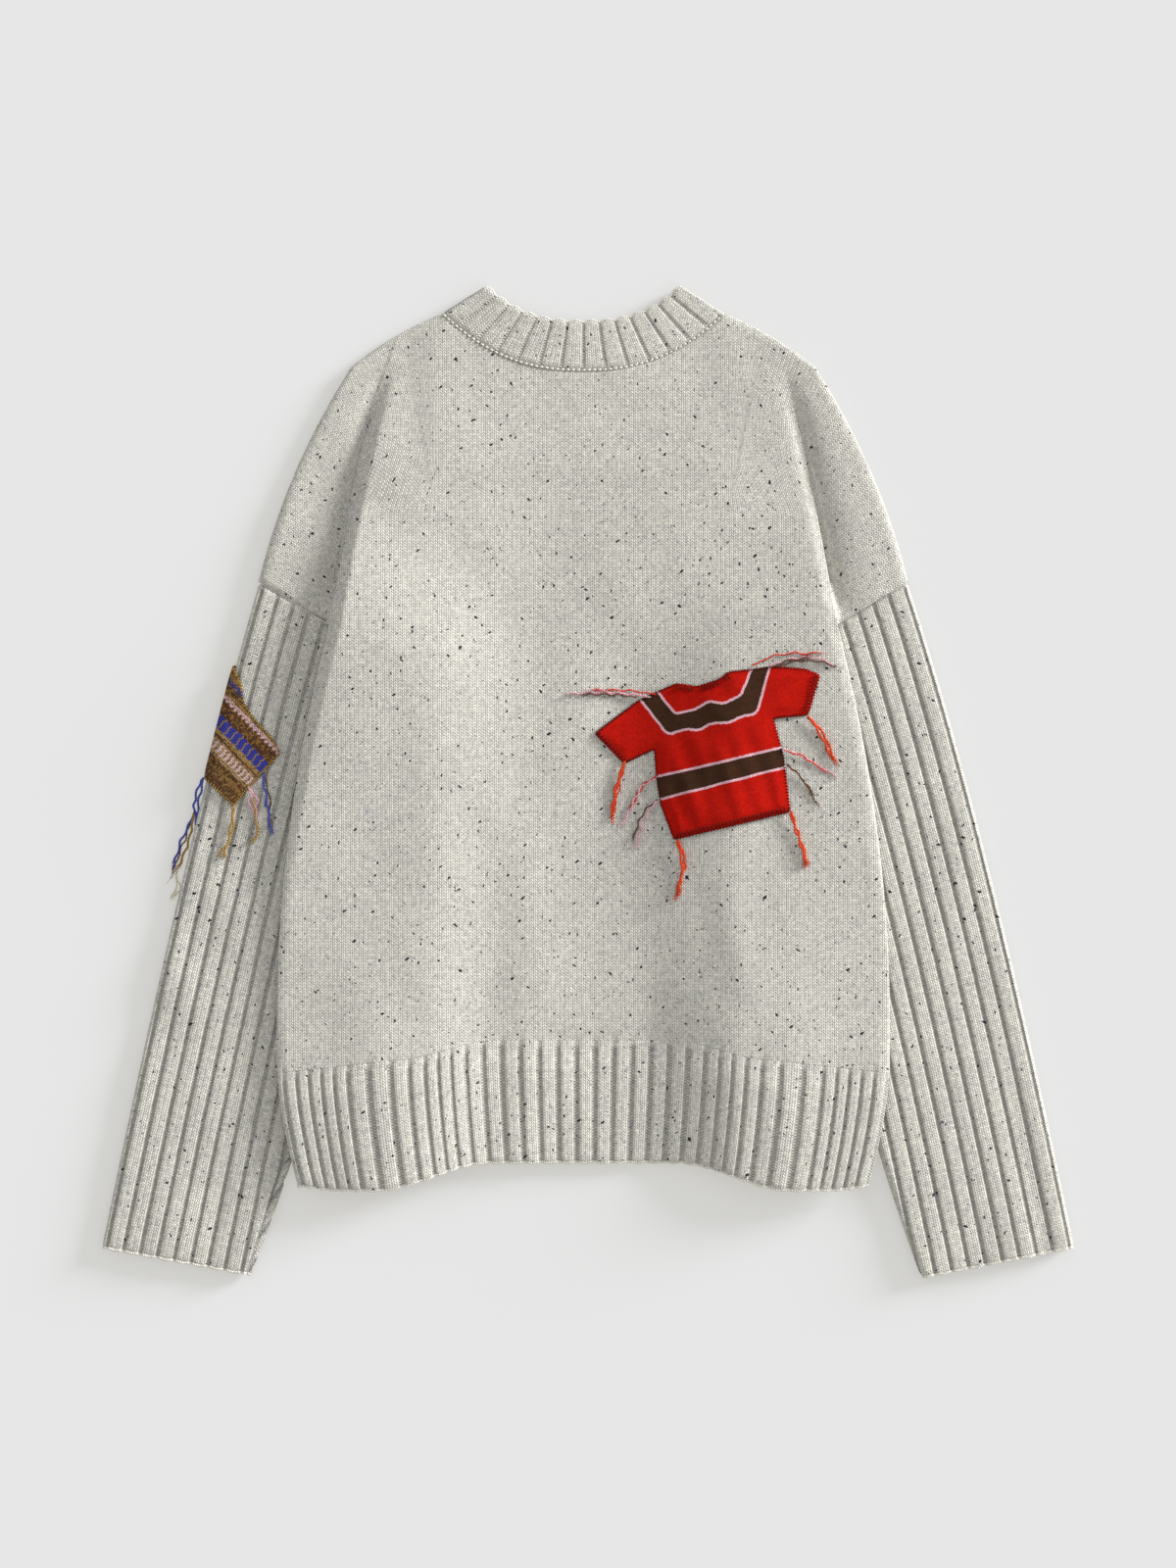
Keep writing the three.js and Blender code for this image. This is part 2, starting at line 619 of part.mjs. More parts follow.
/** A bundle of yarn ends as one round rod along a smooth line. */
function tail(points) {
  const path = new THREE.CatmullRomCurve3(points.map((p) => new THREE.Vector3(...p)));
  const section = new THREE.Shape();
  section.absarc(0, 0, TAIL_WIDTH / 2, 0, 2 * Math.PI);
  return new THREE.ExtrudeGeometry(section, { steps: 5, curveSegments: 3, extrudePath: path });
}

// ---- The garment ---------------------------------------------------------------------------

const wool = (colour) =>
  new THREE.MeshStandardMaterial({ color: colour, roughness: 0.95, metalness: 0 });
const OATMEAL = 0xc7c5bd;
const OATMEAL_RIB = 0xbfbcb2;
const RED = 0xa71710;
const OCHRE = 0x6b5526;
const ORANGE = 0xc8401c;
const BLUE = 0x2c3570;

const garment = new THREE.Group();

function add(name, geometry, colour) {
  const mesh = new THREE.Mesh(geometry, wool(colour));
  mesh.name = name;
  garment.add(mesh);
  return mesh;
}

const backGrid = panelGrid(backNeck, 'back');
const back = add('back_panel', wallOf(backGrid), OATMEAL);
add('front_panel', wallOf(panelGrid(frontNeck, 'front')), OATMEAL);
add('back_hem_rib', wallOf(hemGrid('back')), OATMEAL_RIB);
add('front_hem_rib', wallOf(hemGrid('front')), OATMEAL_RIB);
add('neckband', loopOf(neckband()), OATMEAL_RIB);
for (const name of ['left', 'right']) {
  add(`sleeve_${name}`, sleeve(name), OATMEAL_RIB);
  add(`tucked_side_${name}`, tuckedSide(name), OATMEAL);
}
add('patch_red', redPatch(backGrid), RED);
add('patch_striped', stripedPatch(), OCHRE);
for (const [name, points] of Object.entries(RED_TAILS)) {
  const raised = points.map(([x, y]) => [x, y, topOf(back, x, y) + TAIL_WIDTH / 2 + TAIL_GAP]);
  add(`red_ends_${name}`, tail(raised), ORANGE);
}
for (const [name, points] of Object.entries(STRIPED_TAILS)) {
  add(`striped_ends_${name}`, tail(points), BLUE);
}

export default garment;
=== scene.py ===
"""Looks of the darned wool sweater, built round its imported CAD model.

Shapes are worked out in millimetres in the model's own frame and turned into metres when a
mesh is made. x is measured from the body's centre line until then, unless a name says so.
"""

import math
from functools import partialmethod

import bpy
import numpy as np
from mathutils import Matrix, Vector
from mathutils.geometry import delaunay_2d_cdt


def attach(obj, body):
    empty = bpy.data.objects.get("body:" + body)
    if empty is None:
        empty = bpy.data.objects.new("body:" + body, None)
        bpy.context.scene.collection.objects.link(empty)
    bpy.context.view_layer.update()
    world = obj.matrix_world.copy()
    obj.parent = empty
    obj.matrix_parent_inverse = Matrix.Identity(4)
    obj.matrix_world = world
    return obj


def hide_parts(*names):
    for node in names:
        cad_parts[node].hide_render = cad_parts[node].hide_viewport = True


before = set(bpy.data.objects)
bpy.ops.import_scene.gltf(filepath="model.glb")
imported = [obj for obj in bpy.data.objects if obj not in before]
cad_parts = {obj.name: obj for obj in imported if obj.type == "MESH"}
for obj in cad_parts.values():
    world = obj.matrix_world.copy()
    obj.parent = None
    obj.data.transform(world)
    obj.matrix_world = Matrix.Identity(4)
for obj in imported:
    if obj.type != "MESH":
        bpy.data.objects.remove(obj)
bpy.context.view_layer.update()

MM = 0.001
rng = np.random.default_rng(11)

# ---- Sizes, as in the CAD source ------------------------------------------------------------

BODY_X = -3.5
PANEL_WALL, FRONT_WALL, RIB_WALL = 3.0, 2.5, 3.6
LAYER_GAP, RIM_WALL, RIM_GAP, EDGE_ROLL = 0.4, 1.05, 0.3, 9.0
BODY_HALF, WIDEST_Y = 225.0, -170.0
ARMPIT, ARM_TIP = (186.5, 115.5), (239.0, 147.0)
SHOULDER_BEND, NECK_END = (171.0, 305.0), (104.0, 344.5)
BACK_NECK_Y, FRONT_NECK_Y = 302.5, 239.5
BAND_HALF, BAND_TOP, BAND_BACK_Y, BAND_FRONT_Y = 72.0, 365.0, 338.7, 275.5
RIB_LINE_Y, RIB_CORNER_Y, HEM_Y = -190.5, -213.5, -280.5
HEM_CORNER = (209.5, -297.5)
LIFT = 9.9
SLEEVE_HALF_HEIGHT, SLEEVE_WALL, SLEEVE_ROLL = 4.7, 4.0, 6.5
CUFF_OUTER = (358.25, -342.5)
CUFF_INNER = {"left": (247.0, -363.0), "right": (244.5, -365.0)}
SLEEVE_HEAD_X = 130.0
TUCK_INNER = 114.0

WALE, COURSE = 3.2, 2.1  # width and height of one stitch


# ---- Small helpers ----------------------------------------------------------------------------


def ease(v, low, high):
    t = np.clip((v - low) / (high - low), 0, 1)
    return t * t * (3 - 2 * t)


def fade(v, low, high):
    return 1 - ease(v, low, high)


def lerp(a, b, t):
    return a + (b - a) * t


def bell(v, middle, width):
    return np.exp(-(((v - middle) / width) ** 2))


def bezier(a, b, c):
    a, b, c = (np.array(p, float) for p in (a, b, c))

    def at(t):
        t = np.asarray(t, float)[..., None]
        return (1 - t) ** 2 * a + 2 * t * (1 - t) * b + t**2 * c

    return at


def where(curve, axis, value):
    """Points where a steadily rising or falling curve has these values in one coordinate."""
    t = np.linspace(0, 1, 1201)
    p = curve(t)[:, axis]
    if p[0] > p[-1]:
        t, p = t[::-1], p[::-1]
    return curve(np.interp(value, p, t))


def join(*parts, axis=0):
    return np.concatenate(parts, axis=axis)


def zipped(*values):
    return np.stack(values, axis=-1)


def arc_length(points):
    steps = np.linalg.norm(np.diff(points, axis=0), axis=-1)
    return join(np.zeros((1, *steps.shape[1:])), np.cumsum(steps, axis=0))


def sampled(line, arc, at):
    """Points at these lengths along a line."""
    return zipped(*(np.interp(at, arc, column) for column in line.T))


def closed(ring):
    return join(ring, ring[:1])


def unit(v):
    return v / np.maximum(np.linalg.norm(v, axis=-1, keepdims=True), 1e-9)


def ripples(seed, count, shortest, longest):
    """A gentle unevenness of about unit height, made of waves in all directions."""
    draw = np.random.default_rng(seed)
    angle = draw.uniform(0, math.pi, count)
    wave = 2 * math.pi / draw.uniform(shortest, longest, count)
    phase = draw.uniform(0, 2 * math.pi, count)

    def height(x, y):
        total = 0
        for a, k, p in zip(angle, wave, phase):
            total = total + np.sin(k * (x * math.cos(a) + y * math.sin(a)) + p)
        return total / math.sqrt(count)

    return height


# ---- Outline of the body ----------------------------------------------------------------------

VALLEY_AT = 0.55  # where along the shoulder the valley beside the arm ends
shoulder = bezier(SHOULDER_BEND, (139, 331), NECK_END)
VALLEY_TOP = shoulder(VALLEY_AT)
arm_edge = bezier(ARM_TIP, (219, 230), SHOULDER_BEND)
valley = bezier(ARMPIT, (164, 262), VALLEY_TOP)
NECK_U = NECK_END[0] / VALLEY_TOP[0]
ARMPIT_SHARE = (ARMPIT[1] - RIB_CORNER_Y) / (VALLEY_TOP[1] - RIB_CORNER_Y)
ARMHOLE_SLOPE = (ARM_TIP[1] - ARMPIT[1]) / (ARM_TIP[0] - ARMPIT[0])


def back_neck(x):
    return BACK_NECK_Y + (NECK_END[1] - BACK_NECK_Y) * np.abs(x / NECK_END[0]) ** 2.4


def front_neck(x):
    return FRONT_NECK_Y + (NECK_END[1] - FRONT_NECK_Y) * np.abs(x / NECK_END[0]) ** 2.2


def upper_edge(x, neck):
    side = np.abs(x)
    return np.where(side <= NECK_END[0], neck(x), where(shoulder, 0, side)[..., 1])


def valley_at(share):
    """The valley's points at a share of its height."""
    return where(valley, 1, lerp(ARMPIT[1], VALLEY_TOP[1], share))


def half_width(y):
    """Half the width of the body or, above the armpit, of what lies between the valleys."""
    drop = np.clip((RIB_CORNER_Y - y) / (RIB_CORNER_Y - HEM_CORNER[1]), 0, None)
    below = lerp(BODY_HALF - 0.5, HEM_CORNER[0], drop**1.5)
    rise = np.clip((y - WIDEST_Y) / (ARMPIT[1] - WIDEST_Y), 0, 1)
    side = BODY_HALF - (BODY_HALF - ARMPIT[0]) * rise**1.9
    above = where(valley, 1, y)[..., 0]
    return np.where(y > ARMPIT[1], above, np.where(y < RIB_CORNER_Y, below, side))


def rib_line(x):
    """Where plain knit ends and the hem begins."""
    side = np.abs(x)
    return RIB_LINE_Y - 14 * ease(side, 65, 140) - 9 * np.clip((side - 140) / 82, 0, 1)


def hem_line(x):
    side = np.abs(x)
    return HEM_Y - 19.5 * ease(side, 70, 152) + 3 * ease(side, 180, 212)


def armhole_line(x):
    return ARM_TIP[1] - ARMHOLE_SLOPE * (ARM_TIP[0] - np.abs(x))


# ---- How high the cloth lies ------------------------------------------------------------------


def near_hem(y):
    return fade(y, -240, -60)


def lift_at(x, y):
    """Rise over what is folded under, spread wider than in the CAD solid."""
    line = armhole_line(x)
    along = fade(y, line + 2, line + 120)
    start = lerp(24, 46, near_hem(y))
    return LIFT * ease(np.abs(x), start, 115) * along


def loft_at(x, y):
    """Room between the front and the back."""
    side = np.abs(x)
    low = fade(y, 20, 110)
    crest = 2.6 * bell(x, -2, 26) * low
    folds = 1.0 * bell(x, 112, 17) * low + 0.9 * bell(x, -118, 20) * low
    lobe = 3.6 * bell(side, 150, 34) * near_hem(y)
    neck_room = ease(y, 212, 236) * fade(side, 106, 130)
    inward = half_width(y) - side
    shown = ease(y, -60, 125) * fade(y, 190, 312)
    roll = lerp(9.2, 0.8, ease(x, -60, 60)) * shown * ease(inward, 0, 9)
    beside_arm = roll * fade(inward, 14, 160)
    return 0.6 + crest + folds + lobe + neck_room + beside_arm


def roll_at(distance):
    """How far a rim has closed at this distance from its edge, where it is 1."""
    near = np.clip(1 - distance / EDGE_ROLL, 0, 1)
    return 1 - np.sqrt(1 - near * near)


def stack_at(lift, loft, roll, front_wall, back_wall):
    """Lower and upper face of both layers. They meet halfway up where roll is 1."""
    front_top = lift + front_wall
    back_low = front_top + LAYER_GAP + loft
    back_top = back_low + back_wall
    middle = (lift + back_top) / 2
    front_rim, back_rim = middle - RIM_GAP / 2, middle + RIM_GAP / 2
    front = lerp(lift, front_rim - RIM_WALL, roll), lerp(front_top, front_rim, roll)
    back = lerp(back_low, back_rim, roll), lerp(back_top, back_rim + RIM_WALL, roll)
    return {"front": front, "back": back}


small_ripples = ripples(3, 9, 38, 90)
wide_ripples = ripples(5, 7, 110, 260)


def folds_at(x, y):
    """Soft folds of the back on top of the CAD form."""
    low = fade(y, -90, 70)
    lower = fade(y, -190, -40)
    ridge = 2.2 * bell(x - 0.04 * y, -36, 19) * low
    flatter = -2.8 * bell(x, 2, 25) * low
    trough_left = -1.2 * bell(x, -76, 19) * low
    trough_right = -1.0 * bell(x - 0.05 * y, 58, 16) * lower
    slant = x + 0.3 * (y + 120)
    crease = -0.9 * bell(slant, 96, 13) * ease(y, -215, -150) * fade(y, -90, -30)
    uneven = 0.2 * small_ripples(x, y) + 0.5 * wide_ripples(x, y)
    inward = half_width(y) - np.abs(x)
    deep = lerp(-2.8, -2.1, ease(x, -60, 60))
    fold = deep * np.exp(-((np.maximum(inward, 0) / 5) ** 2)) * ease(y, 118, 140)
    fold = fold * fade(y, 262, 312)
    return ridge + flatter + trough_left + trough_right + crease + uneven + fold


# ---- Ribs -------------------------------------------------------------------------------------

HEM_PITCH, SLEEVE_PITCH, BAND_PITCH = 13.0, 12.6, 16.6  # the hem's is a mean
HEM_HALF, SLEEVE_RIB_HALF, BAND_RIB_HALF = 0.345, 0.385, 0.41  # share of the pitch


def hem_pitch(side):
    """Width of a rib with its channel, which varies along the hem."""
    narrow = bell(side, 107, 20) + ease(side, 168, 184)
    return 13.8 - 4.6 * narrow + 3.2 * bell(side, 156, 13)


RIB_X = np.linspace(0, 232, 900)
RIB_COUNT = join([0], np.cumsum(np.diff(RIB_X) / hem_pitch(RIB_X[1:])))
RIB_SHIFT = 1.5  # the middle rib lies this far from the body's centre line


def hem_ribs(x):
    """Number of ribs from the middle one, at a place along the rib line."""
    moved = x - RIB_SHIFT
    return np.sign(moved) * np.interp(np.abs(moved), RIB_X, RIB_COUNT)


def hem_rib_x(count):
    return np.sign(count) * np.interp(np.abs(count), RIB_COUNT, RIB_X) + RIB_SHIFT


def rib_relief(count, half):
    """0 on the top of a rib and 1 down in the channel, with the rib's own crown."""
    place = np.abs((count + 0.5) % 1 - 0.5)
    channel = ease(place, half - 0.035, half + 0.06)
    return channel + 0.15 * (1 - channel) * (place / half) ** 4


# ---- Meshes -----------------------------------------------------------------------------------

BACK, ON = slice(None, -1), slice(1, None)
QUAD = [(BACK, BACK), (BACK, ON), (ON, ON), (ON, BACK)]  # the corners of a lattice's faces


def rim_edges(faces, count):
    """First and second point of the edges that only one face has, out of count points."""
    sides = faces.shape[1]
    edges = np.concatenate([faces[:, [k, (k + 1) % sides]] for k in range(sides)])
    key = edges.min(1) * count + edges.max(1)
    _, first, times = np.unique(key, return_index=True, return_counts=True)
    return edges[first[times == 1]].T


class Cloth:
    """A mesh put together from lattices of points, with a UV for each face corner."""

    def __init__(self):
        self.points = []
        self.count = 0
        self.faces = []
        self.uvs = []

    def put(self, points):
        """Adds a lattice of points in model coordinates and returns their numbers."""
        shape = points.shape[:-1]
        size = int(np.prod(shape))
        ids = np.arange(self.count, self.count + size).reshape(shape)
        self.points.append(points.reshape(-1, 3))
        self.count += size
        return ids

    def quads(self, ids, uv, keep=None, flip=False):
        corners = QUAD[::-1] if flip else QUAD
        faces = zipped(*(ids[c] for c in corners))
        uvs = np.stack([uv[c] for c in corners], axis=-2)
        if keep is None:
            keep = np.ones(faces.shape[:2], bool)
        self.faces.append(faces[keep])
        self.uvs.append(uvs[keep])
        return faces[keep]

    def wall(self, faces, offset, uv_of):
        """Closes the rim between an upper sheet's faces and the same faces lower down."""
        a, b = rim_edges(faces, self.count)
        self.faces.append(zipped(b, a, a + offset, b + offset))
        self.uvs.append(np.stack([uv_of[b], uv_of[a], uv_of[a], uv_of[b]], axis=-2))

    def build(self, name, material):
        shape = join(*self.points), join(*self.faces), join(*self.uvs)
        return make(name, *shape, [material], "rib_knit")


def add(name, data):
    """A new object in the scene."""
    item = bpy.data.objects.new(name, data)
    bpy.context.scene.collection.objects.link(item)
    return item


def make(name, points, faces, uvs, materials, slot, part=None, sharp=0):
    """One object from model-coordinate points in millimetres, turned outside out.

    part is each face's material, and the last sharp faces are flat: a seam's cut rim.
    """
    a = points[faces[:, 0]]
    volume = 0
    for k in range(1, faces.shape[1] - 1):
        b, c = points[faces[:, k]], points[faces[:, k + 1]]
        volume += float((a * np.cross(b, c)).sum())
    if volume < 0:
        faces, uvs = faces[:, ::-1], uvs[:, ::-1]
    mesh = bpy.data.meshes.new(name)
    mesh.from_pydata((points * MM).tolist(), [], faces.tolist())
    layer = mesh.uv_layers.new(name="Knit")
    layer.data.foreach_set("uv", uvs.astype(np.float32).ravel())
    smooth = np.arange(len(faces)) < len(faces) - sharp
    mesh.polygons.foreach_set("use_smooth", smooth)
    if part is not None:
        mesh.polygons.foreach_set("material_index", part.astype(np.int32))
    for material in materials:
        mesh.materials.append(material)
    mesh.validate()
    mesh.update()
    item = add(name, mesh)
    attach(item, "root")
    return item


def shell(name, low, high, uv, material, slot, arm=None, arm_uv=None, gone=None):
    """A closed wall between two lattices. Faces of the arm take their own UV."""
    cloth = Cloth()
    high_ids = cloth.put(high)
    low_ids = cloth.put(low)
    shape = (high.shape[0] - 1, high.shape[1] - 1)
    gone = np.zeros(shape, bool) if gone is None else gone
    arm = np.zeros(shape, bool) if arm is None else arm
    tops = [cloth.quads(high_ids, uv, ~arm & ~gone)]
    cloth.quads(low_ids, uv, ~arm & ~gone, flip=True)
    if arm.any():
        tops.append(cloth.quads(high_ids, arm_uv, arm))
        cloth.quads(low_ids, arm_uv, arm, flip=True)
    cloth.wall(join(*tops), high_ids.size, uv.reshape(-1, 2))
    used, faces = np.unique(join(*cloth.faces), return_inverse=True)
    points = join(*cloth.points)[used]
    faces = faces.reshape(-1, 4)
    sharp = len(cloth.faces[-1])
    return make(name, points, faces, join(*cloth.uvs), [material], slot, sharp=sharp)


# ---- Materials --------------------------------------------------------------------------------


def node(tree, kind, inputs, **settings):
    """Adds a node. Its inputs are given as numbers, tuples, sockets or Values."""
    made = tree.nodes.new("ShaderNode" + kind)
    for name, value in settings.items():
        setattr(made, name, value)
    for name, value in inputs.items():
        value = value.socket if isinstance(value, Value) else value
        if isinstance(value, bpy.types.NodeSocket):
            tree.links.new(value, made.inputs[name])
        else:
            made.inputs[name].default_value = value
    return made


class Value:
    """A number that runs over the surface, so that a network reads as arithmetic."""

    def __init__(self, tree, socket):
        self.tree, self.socket = tree, socket

    def op(self, name, *others):
        made = node(self.tree, "Math", dict(enumerate((self, *others))), operation=name)
        return Value(self.tree, made.outputs[0])

    __add__ = partialmethod(op, "ADD")
    __sub__ = partialmethod(op, "SUBTRACT")
    __mul__ = partialmethod(op, "MULTIPLY")
    __truediv__ = partialmethod(op, "DIVIDE")
    __pow__ = partialmethod(op, "POWER")
    fract = partialmethod(op, "FRACT")
    floor = partialmethod(op, "FLOOR")
    size = partialmethod(op, "ABSOLUTE")

    def limited(self):
        """Kept between 0 and 1."""
        return self.op("MINIMUM", 1.0).op("MAXIMUM", 0.0)

    def flipped(self):
        return self * -1.0 + 1.0

    def wave(self):
        """A cosine of one turn per unit, from 0 to 1."""
        return (self * (2 * math.pi)).op("COSINE") * 0.5 + 0.5

    def eased(self, low, high):
        inputs = {"Value": self, "From Min": low, "From Max": high}
        made = node(self.tree, "MapRange", inputs, interpolation_type="SMOOTHSTEP")
        return Value(self.tree, made.outputs["Result"])


class Surface:
    """One material's network."""

    def __init__(self, name, roughness=0.95, specular=0.15, sheen=0.12):
        self.material = bpy.data.materials.new(name)
        self.material.use_nodes = True
        self.tree = self.material.node_tree
        self.shader = self.tree.nodes["Principled BSDF"]
        self.set("Roughness", roughness)
        self.set("Specular IOR Level", specular)
        self.set("Sheen Weight", sheen)
        self.set("Sheen Roughness", 0.6)
        coordinates = self.tree.nodes.new("ShaderNodeTexCoord")
        self.place = coordinates.outputs["Object"]
        self.u, self.v, _ = self.split("SeparateXYZ", coordinates.outputs["UV"])

    def set(self, name, value):
        self.shader.inputs[name].default_value = value

    def split(self, kind, socket):
        made = node(self.tree, kind, {0: socket})
        return [Value(self.tree, output) for output in made.outputs]

    def vector(self, x, y):
        return node(self.tree, "CombineXYZ", {0: x, 1: y}).outputs[0]

    def noise(self, scale, detail=2.0, at=None, colour=False):
        inputs = {"Scale": scale, "Detail": detail, "Vector": at or self.place}
        made = node(self.tree, "TexNoise", inputs)
        return made.outputs["Color"] if colour else Value(self.tree, made.outputs[0])

    def random(self, x, y):
        """A random number for each cell of a grid."""
        at = {"Vector": self.vector(x, y)}
        made = node(self.tree, "TexWhiteNoise", at, noise_dimensions="3D")
        return Value(self.tree, made.outputs["Value"])

    def mix(self, share, *colours):
        made = node(self.tree, "Mix", {"Factor": share}, data_type="RGBA")
        sockets = [s for s in made.inputs if s.type == "RGBA"]
        for socket, colour in zip(sockets, colours):
            if isinstance(colour, tuple):
                socket.default_value = (*colour, 1)
            else:
                self.tree.links.new(colour, socket)
        return next(s for s in made.outputs if s.type == "RGBA")

    def shade(self, colour, share):
        inputs = {0: colour, "Scale": share}
        return node(self.tree, "VectorMath", inputs, operation="SCALE").outputs[0]

    def tint(self, colour, by):
        return node(self.tree, "VectorMath", {0: colour, 1: by}, operation="MULTIPLY").outputs[0]

    def specks(self, x, y, cell, radius, share, seed, lean, stretch):
        """Small uneven flecks in the yarn: 1 inside one. x, y and sizes are in millimetres."""
        place = self.vector(x, y)
        bent = {0: self.noise(0.6, 1.0, place, colour=True), 1: (1.6, 1.6, 0.0), 2: place}
        shift = node(self.tree, "VectorMath", bent, operation="MULTIPLY_ADD")
        moved = {
            "Vector": shift.outputs[0], "Location": (37.0 * seed, 11.0 * seed, 0),
            "Rotation": (0, 0, lean), "Scale": (stretch, 1 / stretch, 1),
        }
        move = node(self.tree, "Mapping", moved, vector_type="TEXTURE")
        grid = {"Scale": 1 / cell, "Vector": move.outputs[0]}
        cells = node(self.tree, "TexVoronoi", grid, voronoi_dimensions="2D")
        lot, big, _ = self.split("SeparateColor", cells.outputs["Color"])
        distance = Value(self.tree, cells.outputs["Distance"]) * cell
        reach = big * big * radius + radius * 0.5
        return ((reach - distance) / 0.25).limited() * lot.op("LESS_THAN", share)

    def bump(self, height, distance):
        inputs = {"Strength": 1.0, "Distance": distance * MM, "Height": height}
        return node(self.tree, "Bump", inputs).outputs[0]

    def finish(self, colour, normal):
        self.tree.links.new(colour, self.shader.inputs["Base Color"])
        self.tree.links.new(normal, self.shader.inputs["Normal"])
        return self.material


def knit_height(u, v):
    """Height of plain knit: a V for each stitch, u in wales and v in courses."""
    middle = (u.fract() - 0.5).size() * 2.0
    ridge = (v - middle * 0.85).wave()
    leg = (middle * math.pi).op("SINE").op("MAXIMUM", 0.0)
    return (ridge * 0.75 + 0.25) * (leg**0.55)


def purl_height(u, v):
    """Height of the reverse side: a ladder of short bars, half a step on in each wale."""
    return (v + u.floor() * 0.5).wave() * ((u * math.pi).op("SINE").size() * 0.4 + 0.6)


CREAM = (0.662, 0.644, 0.592)
PALE_GREY = (0.384, 0.393, 0.383)
NAVY = (0.008, 0.009, 0.014)
SLATE = (0.16, 0.18, 0.22)
UMBER = (0.22, 0.17, 0.12)
# Tints for the knit's hollows and crests: painted shade and painted highlight.
HOLLOW_SHADE_TINT = (0.52, 0.50, 0.455)
CREST_HIGHLIGHT_TINT = (1.2, 1.195, 1.18)


def heather(surface, height, u, v, x, y):
    """Oatmeal wool with a grey mixture, and dark flecks spun into it. x and y are in mm. The knit's
    low places are painted darker and its crests lighter: painted shade and painted highlight.
    """
    streak = surface.noise(1.0, 3.0, surface.vector(u * 1.6, v * 0.9))
    cloud = surface.noise(55, 2.0)
    stitch = surface.random((u * 2.0).floor(), v.floor())
    mixture = streak * 1.1 - 0.45 + stitch * 0.55 + cloud * 0.2 - 0.1
    colour = surface.mix(mixture.limited(), CREAM, PALE_GREY)
    # Painted shade in the stitches' hollows and painted highlight on their crests, following the
    # knit's height.
    deep, crest = (surface.tint(colour, by) for by in (HOLLOW_SHADE_TINT, CREST_HIGHLIGHT_TINT))
    colour = surface.mix(height, deep, crest)
    lot = surface.random(u.floor(), v.floor() + 0.5)
    colour = surface.shade(colour, lot * 0.14 + streak.flipped() * 0.12 + 0.85)
    for tone, strength, *kind in FLECKS:
        colour = surface.mix(surface.specks(x, y, *kind) * strength, colour, tone)
    return colour


FLECKS = [  # tone, strength, then cell, radius, share, seed, lean and stretch
    (SLATE, 0.6, 6.0, 0.7, 0.5, 3, 0.0, 1.0),
    (UMBER, 0.6, 10.0, 0.7, 0.4, 5, 0.4, 1.2),
    (NAVY, 1.0, 15.0, 0.95, 0.5, 1, 0.6, 1.35),
    (NAVY, 1.0, 16.0, 0.85, 0.5, 7, -0.7, 1.4),
    (NAVY, 1.0, 10.0, 0.72, 0.5, 9, 1.5, 1.4),
    (NAVY, 0.9, 8.0, 0.5, 0.4, 11, 0.2, 1.4),
]


WOOL_GRAIN, WOOL_FUZZ = 1400, 0.35


def plain_knit():
    surface = Surface("plain_knit")
    u, v = surface.u, surface.v
    height = knit_height(u, v)
    fuzz = surface.noise(WOOL_GRAIN, 3.0)
    normal = surface.bump(height + fuzz * WOOL_FUZZ, 0.48)
    return surface.finish(heather(surface, height, u, v, u * WALE, v * COURSE), normal)


RIB_TONE = 1.085  # ribbed knit is this much lighter than plain knit
GRAIN = 0.14  # how much single stitches of a rib differ


def rib_knit(name, half, pitch, wales, purls, depth, gradual=False):
    """Ribbed knit: u counts ribs, half is the share of the pitch that half a rib takes. depth is
    how much darker the channels are painted: painted shade in the recesses between ribs.
    """
    surface = Surface(name)
    place = (surface.u + 0.5).fract() - 0.5
    in_rib = place.size().eased(half + 0.015, half - 0.06)
    if gradual:
        channel = surface.random(surface.u.floor(), 0.0)
        plain = (surface.v * COURSE + channel * 4.0).eased(-4.0, -1.0)
        in_rib = in_rib.op("MAXIMUM", plain)
    rib_u = (place + half) * (wales / (2 * half)) + (surface.u + 0.5).floor() * 7.0
    channel_u = (surface.u.fract() - half) * (purls / (1 - 2 * half))
    knit = knit_height(rib_u, surface.v)
    purl = purl_height(channel_u, surface.v)
    height = in_rib * knit + in_rib.flipped() * purl * 0.8
    fuzz = surface.noise(WOOL_GRAIN, 3.0)
    x, y = surface.u * pitch, surface.v * COURSE
    colour = heather(surface, height, rib_u, surface.v, x, y)
    grain = surface.random(rib_u.floor(), surface.v.floor() + 0.25)
    # The channels are painted darker by depth: painted shade between the ribs.
    tone = in_rib * depth + grain * GRAIN + (RIB_TONE - GRAIN / 2 - depth)
    colour = surface.shade(colour, tone)
    normal = surface.bump(height + fuzz * WOOL_FUZZ, 0.6)
    return surface.finish(colour, normal)


PLAIN = plain_knit()
HEM_RIB = rib_knit("hem_rib_knit", HEM_HALF, HEM_PITCH, 3, 2, 0.30, gradual=True)
SLEEVE_RIB = rib_knit("sleeve_rib_knit", SLEEVE_RIB_HALF, SLEEVE_PITCH, 3, 2, 0.34)
BAND_RIB = rib_knit("neck_rib_knit", BAND_RIB_HALF, BAND_PITCH, 4, 1, 0.16)


# ---- Panels -----------------------------------------------------------------------------------

